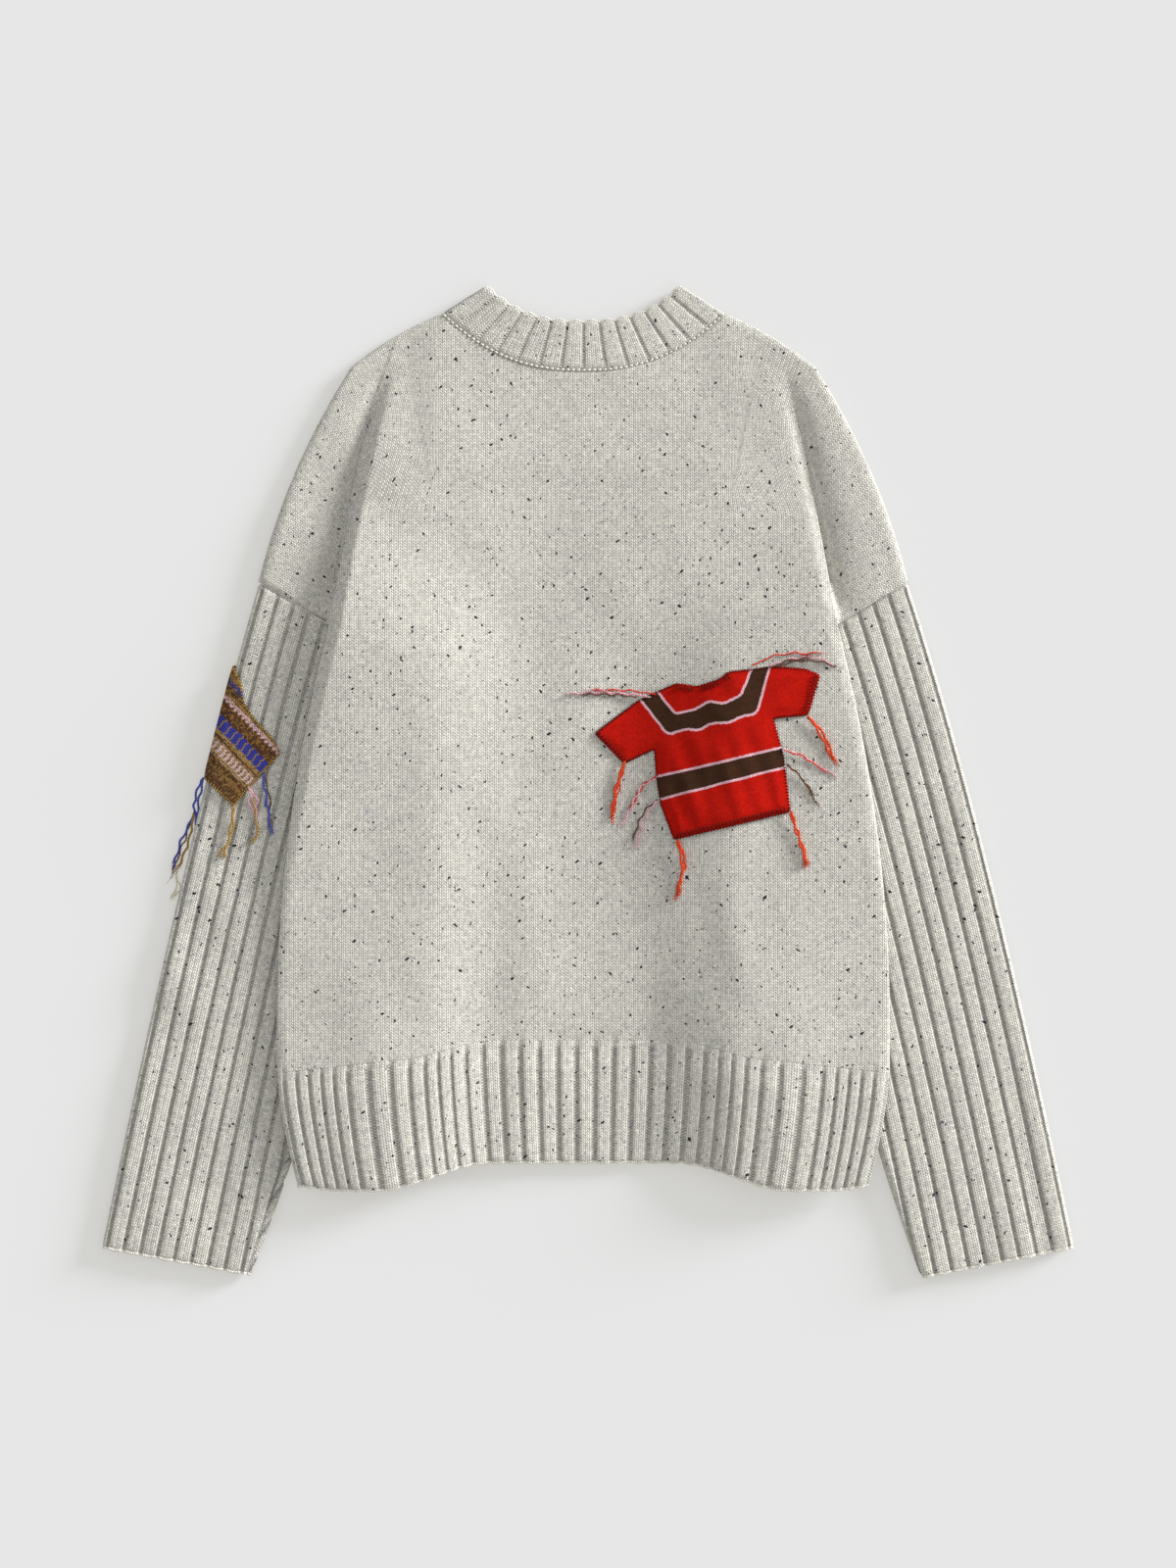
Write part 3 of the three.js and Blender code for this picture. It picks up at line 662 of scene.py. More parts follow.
EDGE_LINE = join(shoulder(np.linspace(1, 0, 200)), arm_edge(np.linspace(1, 0, 300))[1:])
EDGE_ARC = arc_length(EDGE_LINE)
BEND_ARC = EDGE_ARC[199]
LEAN_ARC, LEAN = [0, 27, 36, 78, 138, 188, 253], [0, 8, 14, 22, 45, 55, 58]  # mm, degrees
WALE_LEAN = np.radians(np.interp(EDGE_ARC, LEAN_ARC, LEAN))
STEP_X, STEP_Y = np.diff(EDGE_LINE, axis=0).T
EDGE_ACROSS = np.abs(np.sin(WALE_LEAN[1:]) * STEP_Y - np.cos(WALE_LEAN[1:]) * STEP_X)
EDGE_U = NECK_END[0] + join([0], np.cumsum(EDGE_ACROSS))
PAST_BEND = SHOULDER_BEND[1] - 0.2 * (EDGE_ARC - BEND_ARC)
EDGE_V = np.where(EDGE_ARC <= BEND_ARC, EDGE_LINE[:, 1], PAST_BEND)


def ruled(x, y):
    """Wale and course coordinates of the upper arm, whose wales lean out along its edge."""
    side = np.abs(x)
    low, high = np.zeros_like(side), np.full_like(side, EDGE_ARC[-1])
    for _ in range(26):  # halves the stretch of edge that the point's wale meets
        arc = (low + high) / 2
        lean = np.interp(arc, EDGE_ARC, WALE_LEAN)
        dx, dy = np.moveaxis(zipped(side, y) - sampled(EDGE_LINE, EDGE_ARC, arc), -1, 0)
        across = np.cos(lean) * dx - np.sin(lean) * dy
        low = np.where(across > 0, arc, low)
        high = np.where(across > 0, high, arc)
    down = -np.sin(lean) * dx - np.cos(lean) * dy
    u = np.interp(arc, EDGE_ARC, EDGE_U) + across
    v = np.interp(arc, EDGE_ARC, EDGE_V) - down
    return zipped(np.where(x < 0, -u, u), v)


def panel_uv(x, y):
    straight = zipped(x, y)
    turned = ruled(x, y)
    share = (ease(y, 195, 288) * ease(np.abs(x), 92, 124))[..., None]
    return lerp(straight, turned, share) / (WALE, COURSE), turned / (WALE, COURSE)


RIM_START = 0.955  # the last rows and columns are closer, to round the edge
ARM_RIM_START = 0.84


def to_rim(count, rim, start=RIM_START):
    """Shares from 0 to 1, closer together in the rim."""
    return join(np.linspace(0, start, count), np.linspace(start, 1, rim + 1)[1:])


def panel(name, neck, layer, across, rim, arm_columns, lower, upper, relief):
    """Back or front as one shell: the body, and an arm at each side above the armpit."""
    half = to_rim(across, rim)
    u = join(-half[:0:-1], half)
    share = join([0, 0.0005], np.linspace(0, 1, lower, endpoint=False)[1:])
    lower = len(share)
    share = join(share, to_rim(upper, rim))
    is_upper = np.arange(len(share)) >= lower
    in_upper = is_upper[:, None]
    low_y, high_y = lerp(RIB_CORNER_Y, ARMPIT[1], share), lerp(ARMPIT[1], VALLEY_TOP[1], share)
    edge_y = np.where(is_upper, high_y, low_y)
    width = half_width(edge_y)[:, None]
    bottom = rib_line(u * BODY_HALF)
    armpit_row = lerp(bottom, upper_edge(u * VALLEY_TOP[0], back_neck), ARMPIT_SHARE)
    top = upper_edge(u * VALLEY_TOP[0], neck)
    rows = share[:, None]
    y = np.where(in_upper, lerp(armpit_row, top, rows), lerp(bottom, armpit_row, rows))
    x = u[None, :] * width
    side_roll = np.where(in_upper, 0, roll_at(width - np.abs(x)))
    side_roll = side_roll * fade(edge_y, 95, ARMPIT[1])[:, None]
    on_shoulder = ease(np.abs(u), NECK_U - 0.045, NECK_U + 0.01)[None, :]
    roll = np.maximum(side_roll, roll_at(top - y) * on_shoulder * in_upper)
    in_valley = in_upper * ease(rows, 0.02, 0.16) * (np.abs(u)[None, :] > 0.9999)
    lift = lift_at(x, y) * (1 - in_valley)
    low, high = stack_at(lift, loft_at(x, y), roll, FRONT_WALL, PANEL_WALL)[layer]
    fold = folds_at(x, y) * ((1 - roll) * relief)
    ribs = rib_relief(hem_ribs(u[None, :] * BODY_HALF), HEM_HALF)
    tuck = 0.6 * ribs * fade(y - bottom, 0, 8) * relief
    seam = 0.8 * relief * (1 - on_shoulder) * fade(top - y, 0, 2.6) * in_upper
    body_low = zipped(x, y, low + fold)
    body_high = zipped(x, y, high + fold - tuck - seam)

    arm_across = to_rim(arm_columns, rim, ARM_RIM_START)[1:]
    arm_rows = share[is_upper][:, None]
    valley_height = VALLEY_TOP[1] - ARMPIT[1]
    inner = valley_at(arm_rows)
    outer = arm_edge(arm_rows)
    chord = lerp(inner, outer, arm_across[None, :, None])
    top_chord = lerp(VALLEY_TOP, np.array(SHOULDER_BEND), arm_across[:, None])
    bulge = shoulder(VALLEY_AT * (1 - arm_across)) - top_chord
    plan = chord + bulge[None] * (arm_rows**7)[..., None]
    arm_width = np.linalg.norm(outer - inner, axis=-1)
    arm_roll = roll_at((1 - arm_across)[None, :] * arm_width)
    arm_roll = np.maximum(arm_roll, roll_at((1 - arm_rows) * valley_height))
    middle = bell(arm_across, 0.5, 0.28)
    loft = lerp(3.4, 0.9, ease(arm_rows, 0, 0.8)) + 1.5 * relief * middle * (1 - arm_rows)
    low, high = stack_at(0.0, loft, arm_roll, FRONT_WALL, PANEL_WALL)[layer]
    edge_drop = 1.7 * relief * fade(arm_rows * valley_height, 0, 2.4)
    uneven = 0.35 * small_ripples(plan[..., 0], plan[..., 1]) * (1 - arm_roll) * relief
    from_valley = arm_across[None, :] * arm_width
    arm_y = plan[..., 1]
    dip = -3.4 * np.exp(-((from_valley / 9) ** 2)) * ease(arm_y, 118, 140) * relief
    uneven = uneven + dip * fade(arm_y, 262, 312)
    arm_low = join(plan, (low + 0 * arm_roll)[..., None], axis=-1)
    arm_high = join(plan, (high + uneven - edge_drop)[..., None], axis=-1)
    shade = np.exp(-((from_valley / 26) ** 2)) + 0.7 * middle
    sink = 2.4 * relief * shade * fade(arm_rows, 0.3, 0.8) * (1 - arm_roll)

    def whole(body, arm):
        blank = np.zeros((lower, arm.shape[1], 3))
        left = arm * (-1, 1, 1)
        left[..., 2] -= sink  # the left arm lies lower, in the body's shadow
        joined = join(join(blank, left)[:, ::-1], body, join(blank, arm), axis=1)
        joined[..., 0] += BODY_X
        return joined

    low, high = whole(body_low, arm_low), whole(body_high, arm_high)
    uv, turned = panel_uv(high[..., 0] - BODY_X, high[..., 1])
    columns = np.arange(high.shape[1] - 1)
    on_arm = (columns < arm_high.shape[1]) | (columns >= arm_high.shape[1] + len(u) - 1)
    arm = np.broadcast_to(on_arm, (len(share) - 1, len(columns))).copy()
    gone = arm & (np.arange(len(share) - 1) < lower)[:, None]
    arm &= ~gone
    return shell(name, low, high, uv, PLAIN, "plain_knit", arm, turned, gone)


back = panel("back_cloth", back_neck, "back", 74, 10, 20, 98, 62, 1.0)
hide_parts("back_panel")
front = panel("front_cloth", front_neck, "front", 40, 4, 10, 50, 32, 0.0)
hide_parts("front_panel")


# ---- Hem ribs ---------------------------------------------------------------------------------

EDGES = {}  # lines where knitting is bound off, filled in as the pieces are made
SEAM_GAP = 0.04  # keeps the hem's top edge off the panel's


def hem(name, layer, per_rib, rows):
    """One layer of the ribbed hem, with this many columns of faces in each rib."""
    last = hem_ribs(np.array([-BODY_HALF, BODY_HALF]))
    inner = np.arange(math.ceil(last[0] * per_rib + 1), last[1] * per_rib - 0.5) / per_rib
    count = join([last[0]], inner, [last[1]])
    u = np.clip(hem_rib_x(count) / BODY_HALF, -1, 1)
    share = join([0, 0.012, 0.03], np.linspace(0.06, 1, rows)[:-1], [0.999, 1])[:, None]
    edge_y = lerp(HEM_CORNER[1], RIB_CORNER_Y - SEAM_GAP, share)
    width = half_width(edge_y)
    x = u * width
    bottom, top = hem_line(x), rib_line(u * BODY_HALF) - SEAM_GAP
    y = lerp(bottom, top, share)
    depth = top - y
    roll = roll_at(width - np.abs(x))
    lift, loft = lift_at(x, y), loft_at(x, y)
    low, high = stack_at(lift, loft, roll, RIB_WALL, RIB_WALL)[layer]
    ribs = rib_relief(count, HEM_HALF)[None, :]
    start = 0.5 + 0.5 * ease(depth, 0, 9)
    flat = 1 - 0.75 * roll
    _, panel_top = stack_at(lift, loft, roll, FRONT_WALL, PANEL_WALL)["back"]
    settle = (high - panel_top) * fade(depth, 0, 22)  # starts level with the panel
    edge = y - bottom
    rounded = 0.9 * fade(edge, 0, 2.6)
    cut = ribs * 1.2 * start * flat
    if layer == "back":
        fold = folds_at(x, y) * (1 - roll)
        high = high + fold - cut - settle - rounded
        low = low + fold - 0.36 * fade(depth, 0, 20) * (1 - roll) + rounded
        high = np.maximum(high, low + 0.8)
    else:
        low = low + np.minimum(cut, 1.8)
    scallop = 0.4 * np.cos(2 * math.pi * count) * fade(edge, 0, 6)
    y = y - scallop + 0.4 * fade(edge, 0, 20)
    low = zipped(x + BODY_X, y, low)
    high = zipped(x + BODY_X, y, high)
    uv = zipped(count + 0 * y, -depth / COURSE)
    EDGES[name] = (low[0] + high[0]) / 2
    return shell(name, low, high, uv, HEM_RIB, "rib_knit")


back_hem = hem("back_hem_cloth", "back", 14, 34)
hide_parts("back_hem_rib")
front_hem = hem("front_hem_cloth", "front", 8, 16)
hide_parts("front_hem_rib")


# ---- Sleeves ----------------------------------------------------------------------------------

TURN = np.linspace(0, math.pi / 2, 13)  # round the edge of a flattened sleeve
STATIONS, FLAT_COLUMNS = 190, 118


def sleeve_edges(name):
    side = -1 if name == "left" else 1
    head = (side * ARM_TIP[0] + BODY_X, ARM_TIP[1] - 0.4)
    hidden = (side * SLEEVE_HEAD_X + BODY_X, armhole_line(SLEEVE_HEAD_X) - 0.4)
    cuff_outer = (side * CUFF_OUTER[0], CUFF_OUTER[1])
    cuff_inner = (side * CUFF_INNER[name][0], CUFF_INNER[name][1])
    outer = bezier(head, (side * 294, -30), cuff_outer)
    inner = bezier(hidden, (side * 172, -165), cuff_inner)
    return outer, inner


def profile(inset=0.0):
    """Across, height and arc of the rounded edge of a sleeve's section."""
    across = inset + (SLEEVE_ROLL - inset) * (1 - np.cos(TURN))
    height = (SLEEVE_HALF_HEIGHT - inset) * np.sin(TURN)
    arc = arc_length(zipped(across, height))
    return across, height, arc


def sleeve_frame(name, t):
    """Places and directions along a sleeve, at its outer edge."""
    outer, inner = sleeve_edges(name)
    a, b = outer(t), inner(t)
    width = np.linalg.norm(b - a, axis=-1)
    across = unit(b - a)
    ahead = unit(outer(t + 1e-3) - outer(t - 1e-3))
    line = outer(np.linspace(0, 1, 800))
    length = np.interp(t, np.linspace(0, 1, 800), arc_length(line))
    slip = (across * ahead).sum(-1)
    square = np.sqrt(1 - slip**2)
    return a, width, across, ahead, length, slip, square


def sleeve(name):
    t = join([0, 0.0012, 0.003], np.linspace(0.006, 0.994, STATIONS), [0.997, 0.999, 1])
    start, width, across, ahead, length, slip, square = sleeve_frame(name, t)
    edge_across, edge_height, edge_arc = profile()
    width = width[:, None]
    flat_width = width - 2 * SLEEVE_ROLL
    middle = SLEEVE_ROLL + flat_width * np.linspace(0, 1, FLAT_COLUMNS)[1:-1]
    ones = np.ones_like(width)
    d = join(edge_across * ones, middle, width - edge_across[::-1], axis=1)
    level = SLEEVE_HALF_HEIGHT + 0 * middle
    z = join(edge_height * ones, level, edge_height[::-1] * ones, axis=1)
    turned = edge_arc[-1]
    far = turned + flat_width + (turned - edge_arc[::-1])
    arc = join(edge_arc * ones, turned + middle - SLEEVE_ROLL, far, axis=1)
    ribs_at = arc * square[:, None] / SLEEVE_PITCH
    side = -1 if name == "left" else 1
    over_share = z / SLEEVE_HALF_HEIGHT
    hollow = sleeve_hollows(side, start, across, d) * over_share
    if name == "left":
        drop, shift = cuff_under_layer(start[:, None] + across[:, None] * d[..., None])
        ribs_at = ribs_at + shift
        hollow = hollow - drop * over_share
    from_top = length[:, None] + arc * slip[:, None]
    to_cuff = length[-1] - length[:, None]
    relief = 1.25 * rib_relief(ribs_at, SLEEVE_RIB_HALF) * ease(length, -1, 5)[:, None]
    slope_d, slope_z = np.gradient(d, axis=1), np.gradient(z, axis=1)
    size = np.hypot(slope_d, slope_z)
    bound = 0.9 * fade(to_cuff, 0, 2.6) + 1.7 * fade(length, 0, 2.2)[:, None]
    wave = 0.45 * small_ripples(start[:, None, 0] * 0.4 + d * 0.6, start[:, None, 1]) * over_share
    inward = relief + bound + 0.5

    def at(rows, d, z):
        plan = start[rows, None] + across[rows, None] * d[..., None]
        return join(plan, (SLEEVE_HALF_HEIGHT + z)[..., None], axis=-1)

    def closed_section(top_ids, low):
        """Point numbers of the lower half, which shares its side lines with the upper half."""
        return join(top_ids[:, :1], cloth.put(low[:, 1:-1]), top_ids[:, -1:], axis=1)

    every = slice(None)
    over_d = d + inward * slope_z / size
    over_z = z - inward * slope_d / size
    bulge = 0.35 * np.cos(2 * math.pi * ribs_at) * fade(to_cuff, 0, 5)
    bulge = join(ahead[:, None] * bulge[..., None], 0 * bulge[..., None], axis=-1)
    over = at(every, over_d, over_z + wave + hollow) + bulge
    under = at(every, over_d, -over_z) + bulge
    cloth = Cloth()
    top_ids = cloth.put(over)
    under_ids = closed_section(top_ids, under)
    uv = zipped(ribs_at, -from_top / COURSE)
    cloth.quads(top_ids, uv)
    cloth.quads(under_ids, uv * (-1, 1), flip=True)

    rows = np.unique(join(np.arange(0, len(t), 12), [len(t) - 1]))
    in_across, in_height, _ = profile(SLEEVE_WALL - 0.3)
    in_d = join(in_across * ones, middle, width - in_across[::-1], axis=1)[rows]
    in_z = join(in_height * ones, 1.0 + 0 * middle, in_height[::-1] * ones, axis=1)[rows]
    in_top = cloth.put(at(rows, in_d, in_z))
    in_low = closed_section(in_top, at(rows, in_d, -in_z))
    in_uv = uv[rows]
    cloth.quads(in_top, in_uv, flip=True)
    cloth.quads(in_low, in_uv * (-1, 1))
    for end, flip in ((0, True), (-1, False)):
        ring_uv = np.stack([uv[end], uv[end]])
        cloth.quads(np.stack([top_ids[end], in_top[end]]), ring_uv, flip=flip)
        cloth.quads(np.stack([under_ids[end], in_low[end]]), ring_uv, flip=not flip)
    EDGES[f"cuff_{name}"] = join(over[-1], under[-1, -2:0:-1], over[-1, :1])
    piece = cloth.build(f"sleeve_{name}_cloth", SLEEVE_RIB)
    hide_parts(f"sleeve_{name}")
    return piece


UNDER_LAYER = ((-219.0, -262.0), (-246.0, -345.0))  # where the upper layer's edge runs


def cuff_under_layer(plan):
    """Drop and rib shift where the left cuff's lower layer shows beside the upper one."""
    top, foot = np.array(UNDER_LAYER)
    ahead = unit(foot - top)
    offset = plan - top
    along = offset @ ahead
    beside = offset @ np.array((-ahead[1], ahead[0]))
    shown = ease(along, 0, 22) * ease(beside, -0.4, 0.5)
    drop = shown * 2.2 + 0.7 * bell(beside, 0.3, 1.2) * ease(along, 0, 22)
    return drop, shown * along * 0.045


def sleeve_hollows(side, start, across, d):
    """Soft troughs and ridges along a sleeve's upper face."""
    y = start[:, None, 1] + across[:, None, 1] * d
    low = fade(y, -330, -150)
    ridge = 0.8 * bell(d, 46 + 0.05 * (y + 340), 16) * low
    trough = -1.3 * bell(d, 22, 7) * low if side > 0 else -0.7 * bell(d, 80, 9) * low
    return ridge + trough


sleeves = {name: sleeve(name) for name in ("left", "right")}


# ---- Neckband ---------------------------------------------------------------------------------

BAND_FACES = {"back": (4.1, 7.7), "front": (3.4, 0.0)}  # inner and outer face
BAND_EDGES = {"back": (BAND_BACK_Y, 2.6), "front": (BAND_FRONT_Y, 2.2)}  # y and curve's power
BAND_RADIUS, BAND_DEPTH = 3.85, 36.0
BAND_COLUMNS = 258  # over the back, and as many over the front


def band_column(half, seam_x, free_x, outer_z, inner_z, inward=0.0):
    """Four corners of the band's section: outer seam, outer and inner free edge, inner seam."""
    neck = back_neck if half == "back" else front_neck
    middle, power = BAND_EDGES[half]
    shift = -np.sign(seam_x) * inward
    seam_y = neck(seam_x) + 0.3
    seam_in = np.maximum(seam_y, neck(seam_x + shift) + 0.3)
    free_y = middle + (BAND_TOP - middle) * np.abs(free_x / BAND_HALF) ** power
    corners = [
        zipped(seam_x, seam_y, outer_z),
        zipped(free_x, free_y, outer_z),
        zipped(free_x + shift, free_y - inward, inner_z),
        zipped(seam_x + shift, seam_in, inner_z),
    ]
    return np.stack(corners, axis=-2)


def band_loop():
    """The band's columns round the neck, each with its four corners."""
    u = np.linspace(-1, 1, BAND_COLUMNS + 2)[1:-1]
    angles = np.radians(np.linspace(15, 165, 11))
    parts = []
    for half, sign in (("back", 1), ("front", -1)):
        inner_z, outer_z = (height + 0 * u for height in BAND_FACES[half])
        x = u * sign
        parts.append(band_column(half, x * NECK_END[0], x * BAND_HALF, outer_z, inner_z))
        turn = angles if sign > 0 else angles[::-1]
        out = BAND_RADIUS * (1 - np.sin(turn))
        thin = np.sin(turn) * (BAND_RADIUS - 0.5)
        outer_z = BAND_RADIUS * (1 + np.cos(turn))
        inner_z = BAND_RADIUS + np.cos(turn) * lerp(0.35, 0.5, np.sin(turn))
        seam_x = sign * (NECK_END[0] - out)
        free_x = sign * (BAND_HALF - out)
        for k, angle in enumerate(turn):
            place = "back" if angle <= math.pi / 2 else "front"
            one = (value[k : k + 1] for value in (seam_x, free_x, outer_z, inner_z, thin))
            parts.append(band_column(place, *one))
    return join(*parts)


def neckband():
    corners = band_loop()
    outer_seam = corners[:, 0]
    arc = arc_length(closed(outer_seam))
    total = round(arc[-1] / BAND_PITCH)
    count = arc[:-1] * total / arc[-1]
    middle_back = np.interp(0, outer_seam[:BAND_COLUMNS, 0], count[:BAND_COLUMNS])
    count = count - middle_back + 0.5
    steps = np.linspace(0.07, 0.93, 13)
    # t runs from the seam to the free edge and back inside, and w from the outer face to the inner.
    t = join([0, 0.03], steps, [0.965, 0.99, 1.0, 0.99, 0.965], steps[::-2], [0.0])
    w = join(np.ones(15), [0.94, 0.78, 0.5, 0.22, 0.06], np.zeros(len(steps[::-2]) + 1))
    a, b, c, e = (corners[:, None, k] for k in range(4))
    scallop = 0.022 * np.cos(2 * math.pi * count)[:, None, None]
    reach = t[None, :, None] * (1 + scallop)
    relief = rib_relief(count, BAND_RIB_HALF)[:, None] * ease(t, 0.0, 0.12) * 0.2
    seam = 0.3 * fade(t, 0, 0.07)
    depth = w[None, :] * (1 - np.maximum(relief, seam[None]) * (w > 0.5))
    points = lerp(lerp(e, c, reach), lerp(a, b, reach), depth[..., None])
    points[..., 2] += 0.2 * small_ripples(points[..., 0] * 1.7, points[..., 1]) * (t * w)[None]
    points[..., 0] += BODY_X
    free = int(t.argmax())
    EDGES["neckband"] = closed(points[:, free])
    EDGES["neck_seam"] = closed(points[:, 0])
    cloth = Cloth()
    ids = cloth.put(points)
    ids = closed(join(ids, ids[:, :1], axis=1))
    down = join(t, t[-1:]) * BAND_DEPTH / COURSE
    counts = join(count, [count[0] + total])
    cloth.quads(ids, zipped(*np.broadcast_arrays(counts[:, None], down[None, :])))
    piece = cloth.build("neckband_cloth", BAND_RIB)
    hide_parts("neckband")
    return piece


band = neckband()


# ---- Folded-under sides -----------------------------------------------------------------------


TUCK_LOW, TUCK_HIGH = -284, 30


def tucked_side(name):
    side = -1 if name == "left" else 1
    _, inner = sleeve_edges(name)
    y = np.linspace(TUCK_LOW, TUCK_HIGH, 60)[:, None]
    share = (1 - np.cos(np.linspace(0, math.pi, 34))) / 2
    far = np.abs(where(inner, 1, y)[..., 0] - BODY_X) - 5
    reach = np.minimum(far, half_width(y) - 8) - TUCK_INNER
    x = TUCK_INNER + reach * share
    end = roll_at(np.minimum(share, 1 - share) * reach * 1.2)
    end = np.maximum(end, roll_at(np.minimum(y - TUCK_LOW, TUCK_HIGH - y) * 2))
    top = 8.6 - 4.0 * end + 0.15 * small_ripples(x, y)
    low = 0.2 + 3.8 * end
    y = y + 0 * x
    lattice = [zipped(side * x + BODY_X, y, z) for z in (low, top)]
    uv = zipped(x / WALE, y / COURSE)
    piece = shell(f"tucked_side_{name}_cloth", *lattice, uv, PLAIN, "plain_knit")
    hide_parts(f"tucked_side_{name}")
    return piece


tucked = {name: tucked_side(name) for name in ("left", "right")}


# ---- Patches ----------------------------------------------------------------------------------


def rounded(points, step, reach):
    """A closed outline through the points, resampled and with softened corners."""
    outline = closed(np.array(points, float))
    arc = arc_length(outline)
    count = int(round(arc[-1] / step))
    ring = sampled(outline, arc, np.linspace(0, arc[-1], count, endpoint=False))
    for _ in range(reach):
        ring = (np.roll(ring, 1, 0) + ring * 2 + np.roll(ring, -1, 0)) / 4
    return ring


def inside(points, ring):
    """Whether each point lies inside a closed ring."""
    x, y = points[:, :1], points[:, 1:]
    a, b = ring, np.roll(ring, -1, 0)
    spans = (a[:, 1] > y) != (b[:, 1] > y)
    rise = np.where(b[:, 1] == a[:, 1], 1e-9, b[:, 1] - a[:, 1])
    cross = a[:, 0] + (y - a[:, 1]) * (b[:, 0] - a[:, 0]) / rise
    return (spans & (x < cross)).sum(1) % 2 == 1


def line_distance(points, line):
    """Distance of each point from an open line."""
    a, b = line[:-1], line[1:]
    ahead = b - a
    share = ((points[:, None] - a) * ahead).sum(-1) / np.maximum((ahead**2).sum(-1), 1e-9)
    nearest = a + np.clip(share, 0, 1)[..., None] * ahead
    return np.linalg.norm(points[:, None] - nearest, axis=-1).min(1)


def ring_distance(points, ring):
    return line_distance(points, closed(ring))


def filled(ring, spacing):
    """Triangles over the inside of a ring."""
    low, high = ring.min(0), ring.max(0)
    rows = np.arange(low[1] + spacing / 2, high[1], spacing * 0.87)
    grid = []
    for k, y in enumerate(rows):
        xs = np.arange(low[0] + spacing * (0.25 + 0.5 * (k % 2)), high[0], spacing)
        grid.append(zipped(xs, y + 0 * xs))
    grid = join(*grid)
    grid = grid[inside(grid, ring)]
    grid = grid[ring_distance(grid, ring) > spacing * 0.55]
    corners = [Vector(p) for p in join(ring, grid)]
    edges = [(k, (k + 1) % len(ring)) for k in range(len(ring))]
    points, _, faces = delaunay_2d_cdt(corners, edges, [], 1, 1e-6)[:3]
    return np.array([tuple(p) for p in points]), np.array([tuple(f) for f in faces])


PATCH_WALL, PATCH_GAP = 1.8, 0.35


def patch(name, ring, spacing, place, uv_of, zones_of, material, slot, swell):
    """A small knitted piece over a ring, on the surface that place() gives."""
    plan, faces = filled(ring, spacing)
    edge = ring_distance(plan, ring)
    near = np.clip(edge / 1.7, 0, 1)
    dome = PATCH_WALL * np.sqrt(1 - (1 - near) ** 2) * 0.8 + swell(plan, edge)
    count = len(plan)
    points = join(place(plan, PATCH_GAP + 0.25 + dome), place(plan, PATCH_GAP + 0 * edge))
    a, b = rim_edges(faces, count)
    rim = join(zipped(b, a, a + count), zipped(b, a + count, b + count))
    triangles = join(faces, faces[:, ::-1] + count, rim)
    uv = np.tile(uv_of(plan), (2, 1))
    item = make(name, points, triangles, uv[triangles], [material], slot)
    zones = item.data.attributes.new("Zones", "FLOAT_COLOR", "POINT")
    values = np.ones((count * 2, 4), np.float32)
    values[:, :3] = np.tile(zones_of(plan, edge), (2, 1))
    zones.data.foreach_set("color", values.ravel())
    return item


def back_height(x_model, y):
    """Top of the back inside its rolled edges."""
    x = x_model - BODY_X
    base = lift_at(x, y) + FRONT_WALL + LAYER_GAP + loft_at(x, y) + PANEL_WALL
    return base + folds_at(x, y)


RED_PATCH = (97.0, 21.0, math.radians(12.5))
RED_OUTLINE = [
    (-47, -55), (41, -53.5), (45, -12), (43.5, 16), (69, 13), (84, 40), (74, 47), (50, 54),
    (35, 55), (19, 57), (11, 53), (-6, 51.5), (-20, 57), (-36, 54), (-51, 50.5), (-87, 34),
    (-70.5, 7.5), (-46.5, 13), (-49.5, -6), (-51, -27),
]  # fmt: skip
YOKE_TOP = [(-36, 56), (-26, 35), (-10, 35.4), (0, 39), (10, 34.7), (24, 38), (37, 57)]
YOKE_LOW = [
    (-50, 54), (-34.5, 21), (-20, 23), (-12, 19), (-2, 23), (11, 20), (21, 23), (32, 22), (51, 57),
]  # fmt: skip


def red_place(plan, rise):
    x0, y0, turn = RED_PATCH
    x = x0 + plan[:, 0] * math.cos(turn) - plan[:, 1] * math.sin(turn)
    y = y0 + plan[:, 0] * math.sin(turn) + plan[:, 1] * math.cos(turn)
    return zipped(x, y, back_height(x, y) + rise)


def softened(line):
    """An open line with rounded corners."""
    line = np.array(line, float)
    arc = arc_length(line)
    line = sampled(line, arc, np.linspace(0, arc[-1], 90))
    for _ in range(6):
        line[1:-1] = (line[:-2] + 2 * line[1:-1] + line[2:]) / 4
    return line


def red_zones(plan, edge):
    """Brown, pink and edge shares of each point."""
    top, low = (softened(line) for line in (YOKE_TOP, YOKE_LOW))
    yoke = inside(plan, join(top, low[::-1]))
    x, y = plan.T
    stripe_top, stripe_low = -6.5 + 0.01 * x, -22 + 0.033 * x
    stripe = (y < stripe_top) & (y > stripe_low) & (np.abs(x) < 60)
    brown = (yoke | stripe).astype(float)
    border = np.minimum(line_distance(plan, top), line_distance(plan, low))
    body = np.abs(x) < 56
    for line in (stripe_top, stripe_low):
        border = np.where(body, np.minimum(border, np.abs(y - line)), border)
    pink = np.clip(1.9 - border / 0.75, 0, 1)
    return zipped(brown, pink, 1 - np.clip(edge / 2.2, 0, 1))


def red_swell(plan, edge):
    x, y = plan.T
    soft = ease(edge, 1, 9)
    pleats = 0.25 * np.cos(2 * math.pi * (x + 0.12 * y) / 15.5) * fade(y, -6, 30)
    return soft * (0.9 + pleats + 0.4 * small_ripples(x * 2, y * 2))


def felt(name, colour_of, grain=1500, bumpiness=0.5):
    """Fulled wool: the stitches just show under a fuzzy face."""
    surface = Surface(name, specular=0.05, sheen=0.0)
    height = knit_height(surface.u, surface.v)
    fuzz = surface.noise(grain, 4.0)
    colour = colour_of(surface, height, fuzz)
    return surface.finish(colour, surface.bump(height + fuzz * 0.6, bumpiness))


